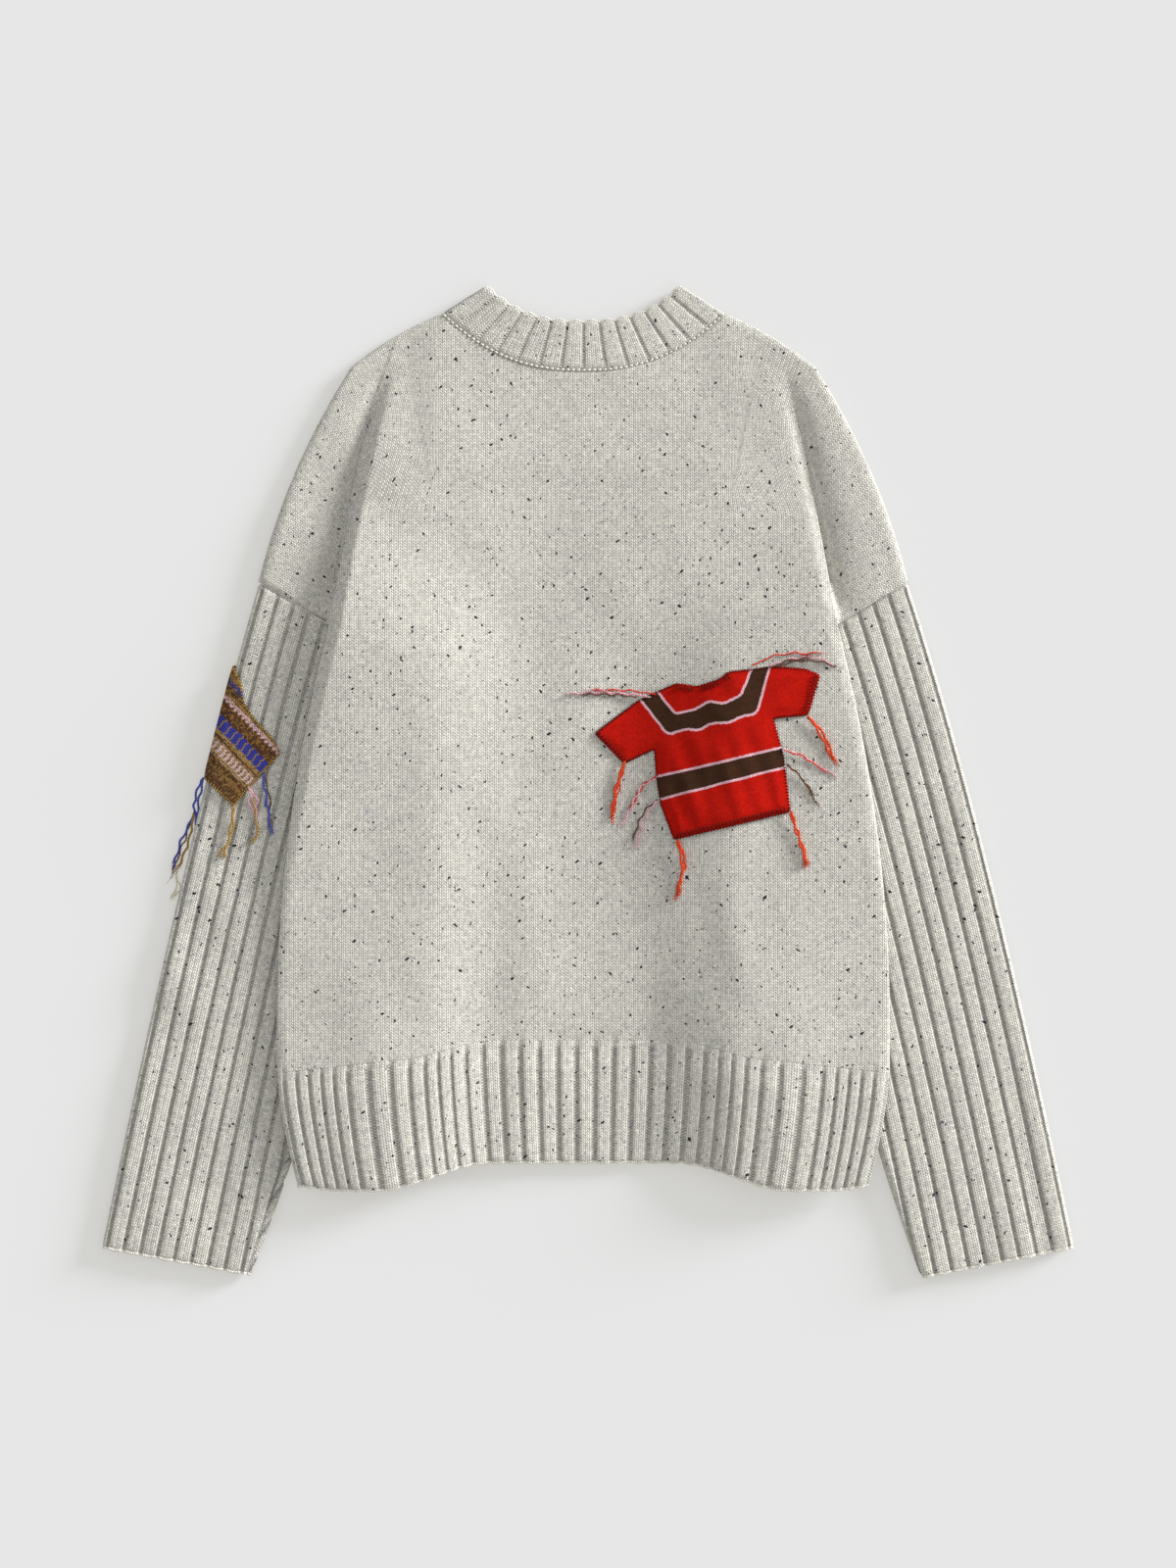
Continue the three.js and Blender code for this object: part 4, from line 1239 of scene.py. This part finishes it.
def red_colour(surface, height, fuzz):
    zones = node(surface.tree, "Attribute", {}, attribute_name="Zones")
    brown, pink, edge = surface.split("SeparateColor", zones.outputs["Color"])
    wander = surface.noise(700, 2.0) * 0.8 - 0.4
    cloud = surface.noise(90, 2.0)
    red = surface.mix(cloud, (0.45, 0.008, 0.003), (0.34, 0.005, 0.002))
    # Near the rim the red is painted darker: painted shade where the felt's edge rounds down.
    red = surface.mix(edge * 0.3, red, (0.22, 0.004, 0.004))
    deep = surface.mix(cloud, (0.052, 0.022, 0.010), (0.030, 0.014, 0.008))
    colour = surface.mix((brown + wander).eased(0.4, 0.6), red, deep)
    colour = surface.mix((pink + wander).eased(0.45, 0.75) * 0.95, colour, (0.60, 0.36, 0.41))
    lot = surface.random(surface.u.floor(), surface.v.floor())
    # The height term paints the stitches' hollows darker: painted shade. lot and fuzz add random
    # tone.
    return surface.shade(colour, height * 0.4 + fuzz * 0.5 + lot * 0.2 + 0.48)


RED_FELT = felt("red_felted_knit", red_colour)
RED_STITCH, RED_SPACING = (2.2, 1.7), 1.15
red_ring = rounded(RED_OUTLINE, RED_SPACING, 3)
red_patch = patch(
    "patch_red_cloth", red_ring, RED_SPACING, red_place, lambda plan: plan / RED_STITCH,
    red_zones, RED_FELT, "red_patch", red_swell,
)
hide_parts("patch_red")


# The striped patch is folded over the outer edge of the left sleeve, and its own plane is
# the sleeve's surface rolled flat: arc round the edge, then length along the sleeve.

LEFT_T = np.linspace(0, 1, 1500)
LEFT_START, _, LEFT_ACROSS, _, LEFT_LENGTH, *_ = sleeve_frame("left", LEFT_T)
EDGE_ACROSS_AT, _, EDGE_ARC_AT = profile()
STRIPED_OUTLINE = [
    (-259, 85), (-255, 72), (-253, 58), (-247, 48.5), (-232, 32), (-226, 21), (-239, 6),
    (-250, -5.5), (-260.5, -18.5), (-281.5, 2),
]  # fmt: skip
FOLD_UNDER = -7.0  # how far the patch goes on under the sleeve's edge


def unrolled(points):
    """Arc and length on the left sleeve for places in the plan."""
    found = []
    for point in points:
        offset = np.array(point) - LEFT_START
        off_line = offset[:, 0] * LEFT_ACROSS[:, 1] - offset[:, 1] * LEFT_ACROSS[:, 0]
        k = int(np.abs(off_line).argmin())
        d = max(0.0, float(offset[k] @ LEFT_ACROSS[k]))
        arc = np.interp(d, EDGE_ACROSS_AT, EDGE_ARC_AT) + max(0.0, d - SLEEVE_ROLL)
        found.append((arc, LEFT_LENGTH[k]))
    return found


def left_frame(length):
    """Places of the left sleeve's outer edge at these lengths, and directions across it."""
    t = np.interp(length, LEFT_LENGTH, LEFT_T)
    return sampled(LEFT_START, LEFT_T, t), sampled(LEFT_ACROSS, LEFT_T, t)


def on_sleeve(plan, rise):
    """Places on the left sleeve, a little outside its surface."""
    arc, length = plan.T
    start, across = left_frame(length)
    turn = np.interp(np.abs(arc), EDGE_ARC_AT, TURN)
    normal_d, normal_z = -SLEEVE_HALF_HEIGHT * np.cos(turn), SLEEVE_ROLL * np.sin(turn)
    size = np.hypot(normal_d, normal_z)
    past = np.maximum(np.abs(arc) - EDGE_ARC_AT[-1], 0)
    d = SLEEVE_ROLL * (1 - np.cos(turn)) + past + rise * normal_d / size
    z = SLEEVE_HALF_HEIGHT * np.sin(turn) + rise * normal_z / size
    level = SLEEVE_HALF_HEIGHT + np.sign(arc + 1e-9) * z
    return join(start + across * d[:, None], np.maximum(level, 0.2)[:, None], axis=-1)


def flat_plan(plan):
    """The unrolled surface laid flat in the plan's own directions."""
    arc, length = plan.T
    start, across = left_frame(length)
    return start + across * arc[:, None]


BAND_TURN = math.radians(-46)
TIP_AT = -127.0
STRIPED_STITCH = 2.0


def striped_uv(plan):
    """Along the bands, and from the tip down across them, in stitches."""
    x, y = flat_plan(plan).T
    along = x * math.cos(BAND_TURN) + y * math.sin(BAND_TURN)
    down = TIP_AT - (-x * math.sin(BAND_TURN) + y * math.cos(BAND_TURN))
    return zipped(along, down) / STRIPED_STITCH


BANDS = [  # where each band starts below the tip, in millimetres, and its colour
    (0, (0.25, 0.15, 0.05)), (9, (0.06, 0.06, 0.20)), (12.5, (0.10, 0.055, 0.025)),
    (17, (0.28, 0.17, 0.055)), (19.4, (0.62, 0.40, 0.42)), (22, (0.12, 0.05, 0.024)),
    (27, (0.15, 0.07, 0.03)), (29, (0.10, 0.042, 0.022)), (32, (0.045, 0.05, 0.29)),
    (41, (0.38, 0.24, 0.10)), (44, (0.13, 0.06, 0.028)), (46, (0.36, 0.24, 0.12)),
    (57, (0.11, 0.052, 0.024)), (61, (0.20, 0.115, 0.04)), (63, (0.13, 0.065, 0.03)),
]  # fmt: skip
REACH = 90.0  # what the whole ramp of bands takes in
BLUE_AT = 36.5


def striped_colour(surface, height, fuzz):
    lot = surface.random((surface.u * 1.6).floor(), (surface.v * 1.6).floor())
    row = surface.random(0.0, surface.v.floor())
    waver = surface.noise(160, 2.0) * 2.4 - 1.2
    down = (surface.v * STRIPED_STITCH + waver) / REACH
    ramp = node(surface.tree, "ValToRGB", {0: down})
    ramp.color_ramp.interpolation = "CONSTANT"
    stops = ramp.color_ramp.elements
    while len(stops) < len(BANDS):
        stops.new(1.0)
    for stop, (start, tone) in zip(stops, BANDS):
        stop.position = start / REACH
        stop.color = (*tone, 1)

    def near(place, half, rule="LESS_THAN"):
        return (down * REACH - place).size().op(rule, half)

    def dashes(pitch, wander, share):
        return (surface.u * pitch + row * wander).fract().op("GREATER_THAN", share)

    plain = near(BLUE_AT, 4.6, "GREATER_THAN")
    gap = dashes(STRIPED_STITCH / 5.6, 0.25, 0.8) * near(BLUE_AT, 4.4)
    pink = (near(22.5, 1.0) + near(51.0, 3.6)).op("MINIMUM", 1.0) * dashes(0.5, 0.6, 0.5)
    colour = ramp.outputs["Color"]
    for share, tone in (
        (lot.op("GREATER_THAN", 0.74) * plain * 0.7, (0.32, 0.175, 0.05)),
        (lot.op("LESS_THAN", 0.25) * plain * 0.7, (0.055, 0.032, 0.018)),
        (gap * 0.9, (0.32, 0.20, 0.07)),
        (pink * 0.9, (0.68, 0.47, 0.48)),
    ):
        colour = surface.mix(share, colour, tone)
    # The height term paints the stitches' hollows darker: painted shade. fuzz adds random tone.
    return surface.shade(colour, height * 0.65 + fuzz * 0.4 + 0.42)


STRIPED_KNIT = felt("striped_knit", striped_colour, 1200, 0.8)
striped_corners = unrolled(STRIPED_OUTLINE)
striped_corners[0] = (0.0, striped_corners[0][1])
under = [(FOLD_UNDER, striped_corners[-1][1]), (FOLD_UNDER, striped_corners[0][1])]
STRIPED_SPACING = 1.2
striped_ring = rounded(striped_corners + under, STRIPED_SPACING, 2)
striped_patch = patch(
    "patch_striped_cloth", striped_ring, STRIPED_SPACING, on_sleeve, striped_uv,
    lambda plan, edge: np.zeros((len(plan), 3)), STRIPED_KNIT, "striped_patch",
    lambda plan, edge: 0.5 * ease(edge, 1, 7),
)
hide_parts("patch_striped")


# ---- Yarn -------------------------------------------------------------------------------------


def yarn_material(name, light, dark):
    surface = Surface(name, sheen=0.0)
    twist = (surface.u + surface.v).wave()
    fuzz = surface.noise(1800, 3.0)
    # Dark and light follow the fuzz, a random fibre tone, and the twist, which paints shade into
    # the grooves between its turns.
    colour = surface.mix((fuzz * 0.7 + twist * 0.4 - 0.05).op("MINIMUM", 1.0), dark, light)
    return surface.finish(colour, surface.bump(twist * 0.5 + fuzz, 0.25))


# A light and a dark tone of each yarn; the dark one is partly painted shade for the twist's
# grooves.
YARNS = {
    "orange": ((0.66, 0.085, 0.022), (0.36, 0.022, 0.006)),
    "red": ((0.66, 0.05, 0.02), (0.40, 0.012, 0.006)),
    "pink": ((0.72, 0.42, 0.46), (0.45, 0.22, 0.26)),
    "brown": ((0.15, 0.07, 0.04), (0.06, 0.028, 0.016)),
    "blue": ((0.10, 0.12, 0.48), (0.03, 0.035, 0.20)),
    "ochre": ((0.46, 0.29, 0.09), (0.20, 0.115, 0.03)),
    "cream": ((0.80, 0.75, 0.60), (0.55, 0.50, 0.38)),
    "wool": ((0.78, 0.755, 0.69), (0.42, 0.40, 0.35)),
    "dark_red": ((0.09, 0.006, 0.004), (0.04, 0.003, 0.002)),
}
YARN_ORDER = list(YARNS)
YARN_MATERIALS = [yarn_material(f"yarn_{name}", *tones) for name, tones in YARNS.items()]
YARN_TWIST = 3.0  # length of one turn in a yarn's material
FLOOR_ROOM = 0.15  # how far a yarn stays above the floor
HAIRS = 9  # loose hairs at a yarn's free end
YARN_PITCH, YARN_SWAY = 3.4, 0.65  # turn of the plies, and how far a yarn wanders to its sides
UP = (0.0, 0.0, 1.0)


def directions(line):
    """Along a line, level beside it and square to both."""
    ahead = unit(np.gradient(line, axis=0))
    level = unit(np.cross(ahead, UP))
    return ahead, level, np.cross(level, ahead)


def smooth_line(points, step):
    """A rounded line through points, sampled at an even step."""
    p = np.array(points, float)
    ends = join(2 * p[:1] - p[1:2], p, 2 * p[-1:] - p[-2:-1])
    parts = []
    t = np.linspace(0, 1, 40, endpoint=False)[:, None]
    for a, b, c, d in zip(ends, ends[1:], ends[2:], ends[3:]):
        curve = 2 * b + (c - a) * t + (2 * a - 5 * b + 4 * c - d) * t**2
        parts.append(0.5 * (curve + (3 * b - a - 3 * c + d) * t**3))
    dense = join(*parts, p[-1:])
    arc = arc_length(dense)
    return sampled(dense, arc, np.linspace(0, arc[-1], max(3, int(arc[-1] / step))))


class Strands:
    """Many small tubes that become one piece."""

    def __init__(self):
        self.points, self.faces, self.uvs, self.parts = [], [], [], []
        self.count = 0

    def tube(self, line, radius, colour, sides=6):
        n = len(line)
        _, level, upright = directions(line)
        angle = np.linspace(0, 2 * math.pi, sides, endpoint=False)[:, None]
        ring = level[:, None] * np.cos(angle) + upright[:, None] * np.sin(angle)
        rings = line[:, None] + ring * np.broadcast_to(radius, (n,))[:, None, None]
        ids = self.count + np.arange(n * sides).reshape(n, sides)
        tips = self.count + n * sides
        around = join(ids, ids[:, :1], axis=1)
        uv = zipped(*np.meshgrid(np.linspace(0, 1, sides + 1), arc_length(line) / YARN_TWIST))
        quads = zipped(*(around[c] for c in QUAD)).reshape(-1, 4)
        quad_uv = np.stack([uv[c] for c in QUAD], axis=-2).reshape(-1, 4, 2)
        halves = [0, 1, 2], [0, 2, 3]
        first, last = ids[0], ids[-1]
        start = zipped(np.roll(first, -1), first, np.full(sides, tips))
        end = zipped(last, np.roll(last, -1), np.full(sides, tips + 1))
        faces = join(*(quads[:, half] for half in halves), start, end)
        self.points.append(join(rings.reshape(-1, 3), line[:1], line[-1:]))
        self.faces.append(faces)
        self.uvs.append(join(*(quad_uv[:, half] for half in halves), np.zeros((2 * sides, 3, 2))))
        self.parts.append(np.full(len(faces), YARN_ORDER.index(colour)))
        self.count += n * sides + 2

    def yarn(self, points, colour, radius, seed, settle=None):
        """A two-ply yarn along a smooth line through the points, frayed at its free end."""
        draw = np.random.default_rng(seed)
        line = smooth_line(points, 0.55)
        arc = arc_length(line)
        share = arc / arc[-1]
        for k in (0, 1):
            phase, wave = draw.uniform(0, 6.28), draw.uniform(9, 16)
            sway = np.sin(2 * math.pi * arc / wave + phase)
            line[:, k] += YARN_SWAY * sway * ease(share, 0, 0.25)
        if settle is not None:
            line[:, 2] = settle(line) + line[:, 2]
        ahead, level, upright = directions(line)
        begin = draw.uniform(0, 6.28)
        spread = radius * (0.62 + 1.3 * ease(share, 0.82, 1.0))
        thick = radius * 0.62 * (1 - 0.65 * ease(share, 0.86, 1.0))
        for ply in (0, 0.5):
            angle = (2 * math.pi * (arc / YARN_PITCH + ply) + begin)[:, None]
            offset = level * np.cos(angle) + upright * np.sin(angle)
            own = line + offset * spread[:, None]
            own[:, 2] = np.maximum(own[:, 2], FLOOR_ROOM)
            self.tube(own, thick, colour)
        for _ in range(HAIRS):
            k = draw.integers(int(len(line) * 0.5), len(line) - 1)
            step = ahead[k] * draw.uniform(2, 6) + level[k] * draw.uniform(-2.6, 2.6)
            hair = np.array([line[k], line[k] + step * 0.5 + (0, 0, 0.5), line[k] + step])
            self.tube(smooth_line(hair, 0.8), 0.12, colour, 3)

    def build(self, name, slot):
        shape = join(*self.points), join(*self.faces), join(*self.uvs)
        return make(name, *shape, YARN_MATERIALS, slot, join(*self.parts))


def on_back(line):
    return back_height(line[:, 0], line[:, 1])


RED_ENDS = {
    "collar_left": [
        ("red", (50, 64), (29, 67), (3, 67)), ("brown", (36, 62), (16, 64), (-4, 64)),
        ("pink", (43, 63), (11, 66), (-16, 64)), ("pink", (46, 62), (20, 64.5), (2, 65)),
    ],
    "collar_right": [
        ("red", (120, 85), (140, 93), (171, 94)), ("brown", (135, 84), (148, 89), (164, 91)),
        ("pink", (133, 85), (150, 90), (168, 90.5), (180, 85)),
        ("brown", (138, 84), (152, 88), (170, 88), (182, 84)),
    ],
    "left_cuff": [
        ("orange", (27, 15), (21.5, -4), (17.5, -31)), ("orange", (26, 13), (20, -6), (17, -27)),
        ("red", (27, 13), (22, -8), (18, -22)),
    ],
    "left_side": [
        ("red", (50, 4), (40, -4), (30, -22)), ("pink", (49, 2), (38, -6), (25, -33)),
        ("brown", (51, -13), (40, -24), (33, -42)), ("pink", (50, -14), (42, -27), (35, -50)),
    ],
    "left_hem": [
        ("orange", (66, -43), (70.5, -60), (64, -87)), ("orange", (65, -44), (69, -61), (66, -84)),
        ("red", (67, -44), (71.5, -61), (66, -76)),
    ],
    "right_cuff": [
        ("orange", (161, 48), (172.5, 35), (182, 13)), ("orange", (162, 47), (171, 33), (180, 15)),
    ],
    "right_side": [
        ("pink", (143, 24), (161, 16), (183, 3)), ("red", (144, 23), (158, 18), (176, 6)),
        ("brown", (146, 12), (159, 0), (169, -18)), ("brown", (146, 13), (156, 3), (165, -10)),
    ],
    "right_hem": [
        ("orange", (149, -22), (156, -44), (159.5, -54), (158.5, -64)),
        ("orange", (148, -23), (154.5, -42), (157.5, -52), (161, -62)),
    ],
}
STRIPED_ENDS = {
    "outer_corner": [
        ("blue", (-283, 3, 8), (-287, -18, 5), (-289, -41, 3)),
        ("blue", (-284, 2, 8), (-290, -16, 4), (-287, -36, 5)),
    ],
    "outer_long": [
        ("brown", (-290, -22, 4), (-297, -42, 1.2), (-308, -71, 0.8)),
        ("ochre", (-290, -24, 4), (-295, -46, 1.2), (-304, -68, 0.8)),
        ("blue", (-291, -26, 3), (-300, -44, 1.2), (-306, -64, 0.8)),
        ("cream", (-303, -66, 1.0), (-304, -78, 0.9), (-307, -87, 0.8)),
        ("cream", (-304, -68, 1.0), (-301, -79, 0.9), (-305, -84, 0.8)),
    ],
    "hem_middle": [
        ("ochre", (-260, -19, 11), (-264, -41, 10.6), (-268, -57, 10.4)),
        ("ochre", (-261, -18, 11), (-262, -38, 10.6), (-271, -55, 10.4)),
    ],
    "hem_inner": [
        ("pink", (-250, -4, 11.5), (-243, -13, 11), (-246, -22, 10.6), (-250, -12, 11)),
        ("pink", (-249, -6, 11.5), (-245, -18, 11), (-243, -30, 10.6)),
        ("ochre", (-246, -12, 11), (-243, -36, 10.6), (-247, -46, 10.4)),
    ],
    "inner_corner": [
        ("blue", (-239, 6, 11.5), (-236, -15, 10.8), (-233, -38, 10.4)),
        ("brown", (-238, 5, 11.5), (-234, -13, 10.8), (-235, -32, 10.4)),
    ],
}


THICK, THIN = 0.8, 0.52  # radius of a yarn
THICK_YARNS = ("orange", "blue", "ochre")


def ends(prefix, table, slot):
    """Loose yarn ends, one piece for each place where they leave the patch."""
    made = []
    for number, (name, strands) in enumerate(table.items()):
        group = Strands()
        for k, (colour, *points) in enumerate(strands):
            seed = 40 * number + 7 * k + len(prefix)
            radius = THICK if colour in THICK_YARNS else THIN
            settle = None
            if len(points[0]) == 2:  # lies on the back, at a height above it
                middle = [radius + 0.6 + 0.6 * (k % 2)] * (len(points) - 2)
                rise = [radius + 2.2, *middle, radius + 0.3]
                points = [(*point, z) for point, z in zip(points, rise)]
                settle = on_back
            group.yarn(points, colour, radius, seed, settle)
        item = group.build(f"{prefix}_yarn_{name}", slot)
        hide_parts(f"{prefix}_ends_{name}")
        made.append(item)
    return made


red_ends = ends("red", RED_ENDS, "red_yarn")
striped_ends = ends("striped", STRIPED_ENDS, "striped_yarn")


# ---- Stitching --------------------------------------------------------------------------------

OVER_RISE, OVER_RADIUS = np.array([PATCH_GAP, 1.75, 2.2, 1.7]), 0.3


def overcast(name, ring, place, colour, slot, pitch, inward, outward, skip=None):
    """Short stitches over a patch's edge, all round it."""
    group = Strands()
    outline = closed(ring)
    arc = arc_length(outline)
    ahead = unit(np.gradient(outline, axis=0))
    area = 0.5 * (outline[:-1, 0] * outline[1:, 1] - outline[1:, 0] * outline[:-1, 1]).sum()
    inner = zipped(-ahead[:, 1], ahead[:, 0]) * np.sign(area)
    for at in np.arange(0, arc[-1], pitch):
        p, n, f = (sampled(line, arc, at) for line in (outline, inner, ahead))
        if skip is not None and skip(p):
            continue
        reach = n * inward * rng.uniform(0.8, 1.25)
        plan = [p - n * outward, p + f * 0.25, p + reach * 0.6 + f * 0.5, p + reach + f * 0.7]
        stitch = smooth_line(place(np.array(plan), OVER_RISE), 0.5)
        group.tube(stitch, OVER_RADIUS, colour, 5)
    return group.build(name, slot)


CHAIN_PITCH, CHAIN_STEP, CHAIN_SIZE = 3.3, 0.42, 0.7
LINK_START, LINK_PITCH, LINK_RADIUS = 1.5, 3.9, 0.72
LINK_ALONG, LINK_RISE = np.array([-1.1, -0.4, 0.4, 1.1]), (0.1, 0.6, 0.6, 0.1)


def bound_off(name, line):
    """The chain of loops that closes a knitted edge."""
    arc = arc_length(line)
    at = np.arange(0, arc[-1], CHAIN_STEP)
    line = sampled(line, arc, at)
    out = np.cross(unit(np.gradient(line, axis=0)), UP)
    group = Strands()
    for shift in (0.0, math.pi):
        turn = 2 * math.pi * at / CHAIN_PITCH + shift
        path = line + out * (0.62 * CHAIN_SIZE * np.sin(turn))[:, None]
        path[:, 2] += CHAIN_SIZE * (0.5 * np.cos(turn) + 0.4)
        path[:, 2] = np.maximum(path[:, 2], CHAIN_SIZE + 0.05)
        group.tube(path, CHAIN_SIZE, "wool", 5)
    return group.build(name, "rib_knit")


def linked(name, line):
    """A row of separate stitches that links the neckband to the panels."""
    arc = arc_length(line)
    group = Strands()
    for at in np.arange(LINK_START, arc[-1], LINK_PITCH):
        stitch = sampled(line, arc, at + LINK_ALONG)
        stitch[:, 2] = np.maximum(stitch[:, 2] + LINK_RISE, 0.8)
        group.tube(smooth_line(stitch, 0.4), LINK_RADIUS, "wool", 6)
    return group.build(name, "rib_knit")


neck_seam = EDGES.pop("neck_seam")
chains = {key: bound_off(f"{key}_chain", line) for key, line in EDGES.items()}
linking = linked("neck_seam_stitches", neck_seam)

red_stitches = overcast(
    "patch_red_stitches", red_ring, red_place, "dark_red", "red_patch", 2.3, 1.5, 0.35
)


TICK_RISE, TICK_RADIUS = PATCH_GAP + np.array([2.1, 2.6, 2.6]), 0.5


def ticks(group, start, end, depth, pitch):
    """The ribs of a small welt: short dark strands square to its edge, painted shade in the furrows
    between the ribs.
    """
    start, end = np.array(start, float), np.array(end, float)
    span = np.linalg.norm(end - start)
    ahead = (end - start) / span
    into = np.array([-ahead[1], ahead[0]])
    for at in np.arange(pitch, span - pitch / 2, pitch):
        foot = start + ahead * at
        plan = np.array([foot + into * reach for reach in (1.6, depth * 0.6, depth)])
        swell = red_swell(plan, ring_distance(plan, red_ring))
        furrow = smooth_line(red_place(plan, TICK_RISE + swell * 0.9), 0.8)
        # Dark red strands stand in for the shaded furrows: painted shade.
        group.tube(furrow, TICK_RADIUS, "dark_red", 5)


welt_shade_strands = Strands()
for first, last, depth, pitch in (  # hem, cuffs and collar of the red patch
    ((-47, -55), (41, -53.5), 4.6, 2.9),
    ((69, 13), (84, 40), 4.2, 2.9),
    ((-87, 34), (-70.5, 7.5), 4.2, 2.9),
    ((19, 57), (11, 53), 4.5, 2.7),
    ((11, 53), (-6, 51.5), 4.5, 2.7),
    ((-6, 51.5), (-20, 57), 4.5, 2.7),
):
    ticks(welt_shade_strands, first, last, depth, pitch)
red_welt_shade_strands = welt_shade_strands.build("patch_red_welts", "red_patch")

striped_stitches = overcast(
    "patch_striped_stitches", striped_ring, on_sleeve, "ochre", "striped_patch", 2.0, 1.8, 0.4,
    skip=lambda p: p[0] < 0.5,
)


# ---- Camera, floor and light ------------------------------------------------------------------

CAMERA_HEIGHT, CAMERA_Y = 3.2, -0.0018
SENSOR = 36
VIEW_LENGTH = 1.152  # what the picture's long side takes in, at the height of the cloth
CLOTH_LEVEL = 0.012

camera = bpy.data.cameras.new("camera")
camera.type = "PERSP"
camera.sensor_width = SENSOR
camera.lens = SENSOR * (CAMERA_HEIGHT - CLOTH_LEVEL) / VIEW_LENGTH
eye = add("camera", camera)
eye.location = (0, CAMERA_Y, CAMERA_HEIGHT)
bpy.context.scene.camera = eye

FLOOR_TONE = (0.308, 0.316, 0.355)
FLOOR_GLOW = (0.407, 0.3965, 0.3467)  # keeps the backdrop's shadows light and warm
FLOOR_HALF, FLOOR_LEVEL = 6.0, -0.0004
floor_surface = Surface("floor", roughness=0.9, specular=0.0, sheen=0.0)
floor_surface.set("Base Color", (*FLOOR_TONE, 1))
floor_surface.set("Emission Color", (*FLOOR_GLOW, 1))
floor_surface.set("Emission Strength", 1.0)
floor_mesh = bpy.data.meshes.new("floor")
SIGNS = ((-1, -1), (1, -1), (1, 1), (-1, 1))
CORNERS = [(x * FLOOR_HALF, y * FLOOR_HALF, FLOOR_LEVEL) for x, y in SIGNS]
floor_mesh.from_pydata(CORNERS, [], [(0, 1, 2, 3)])
floor_mesh.materials.append(floor_surface.material)
add("floor", floor_mesh)

SUN_FROM, SUN_ANGLE, SUN_ENERGY = (0.849, 0.451, 0.206), 18, 6.9
key = bpy.data.lights.new("key", "SUN")
key.energy = SUN_ENERGY
key.angle = math.radians(SUN_ANGLE)
add("key", key).rotation_euler = Vector(SUN_FROM).to_track_quat("Z", "Y").to_euler()

SKY_STRENGTH = 0.817
world = bpy.data.worlds.new("studio")
world.use_nodes = True
background = world.node_tree.nodes["Background"].inputs
background["Color"].default_value = (1.0, 1.0, 1.0, 1)
background["Strength"].default_value = SKY_STRENGTH
bpy.context.scene.world = world
bpy.context.scene.view_settings.view_transform = "Standard"
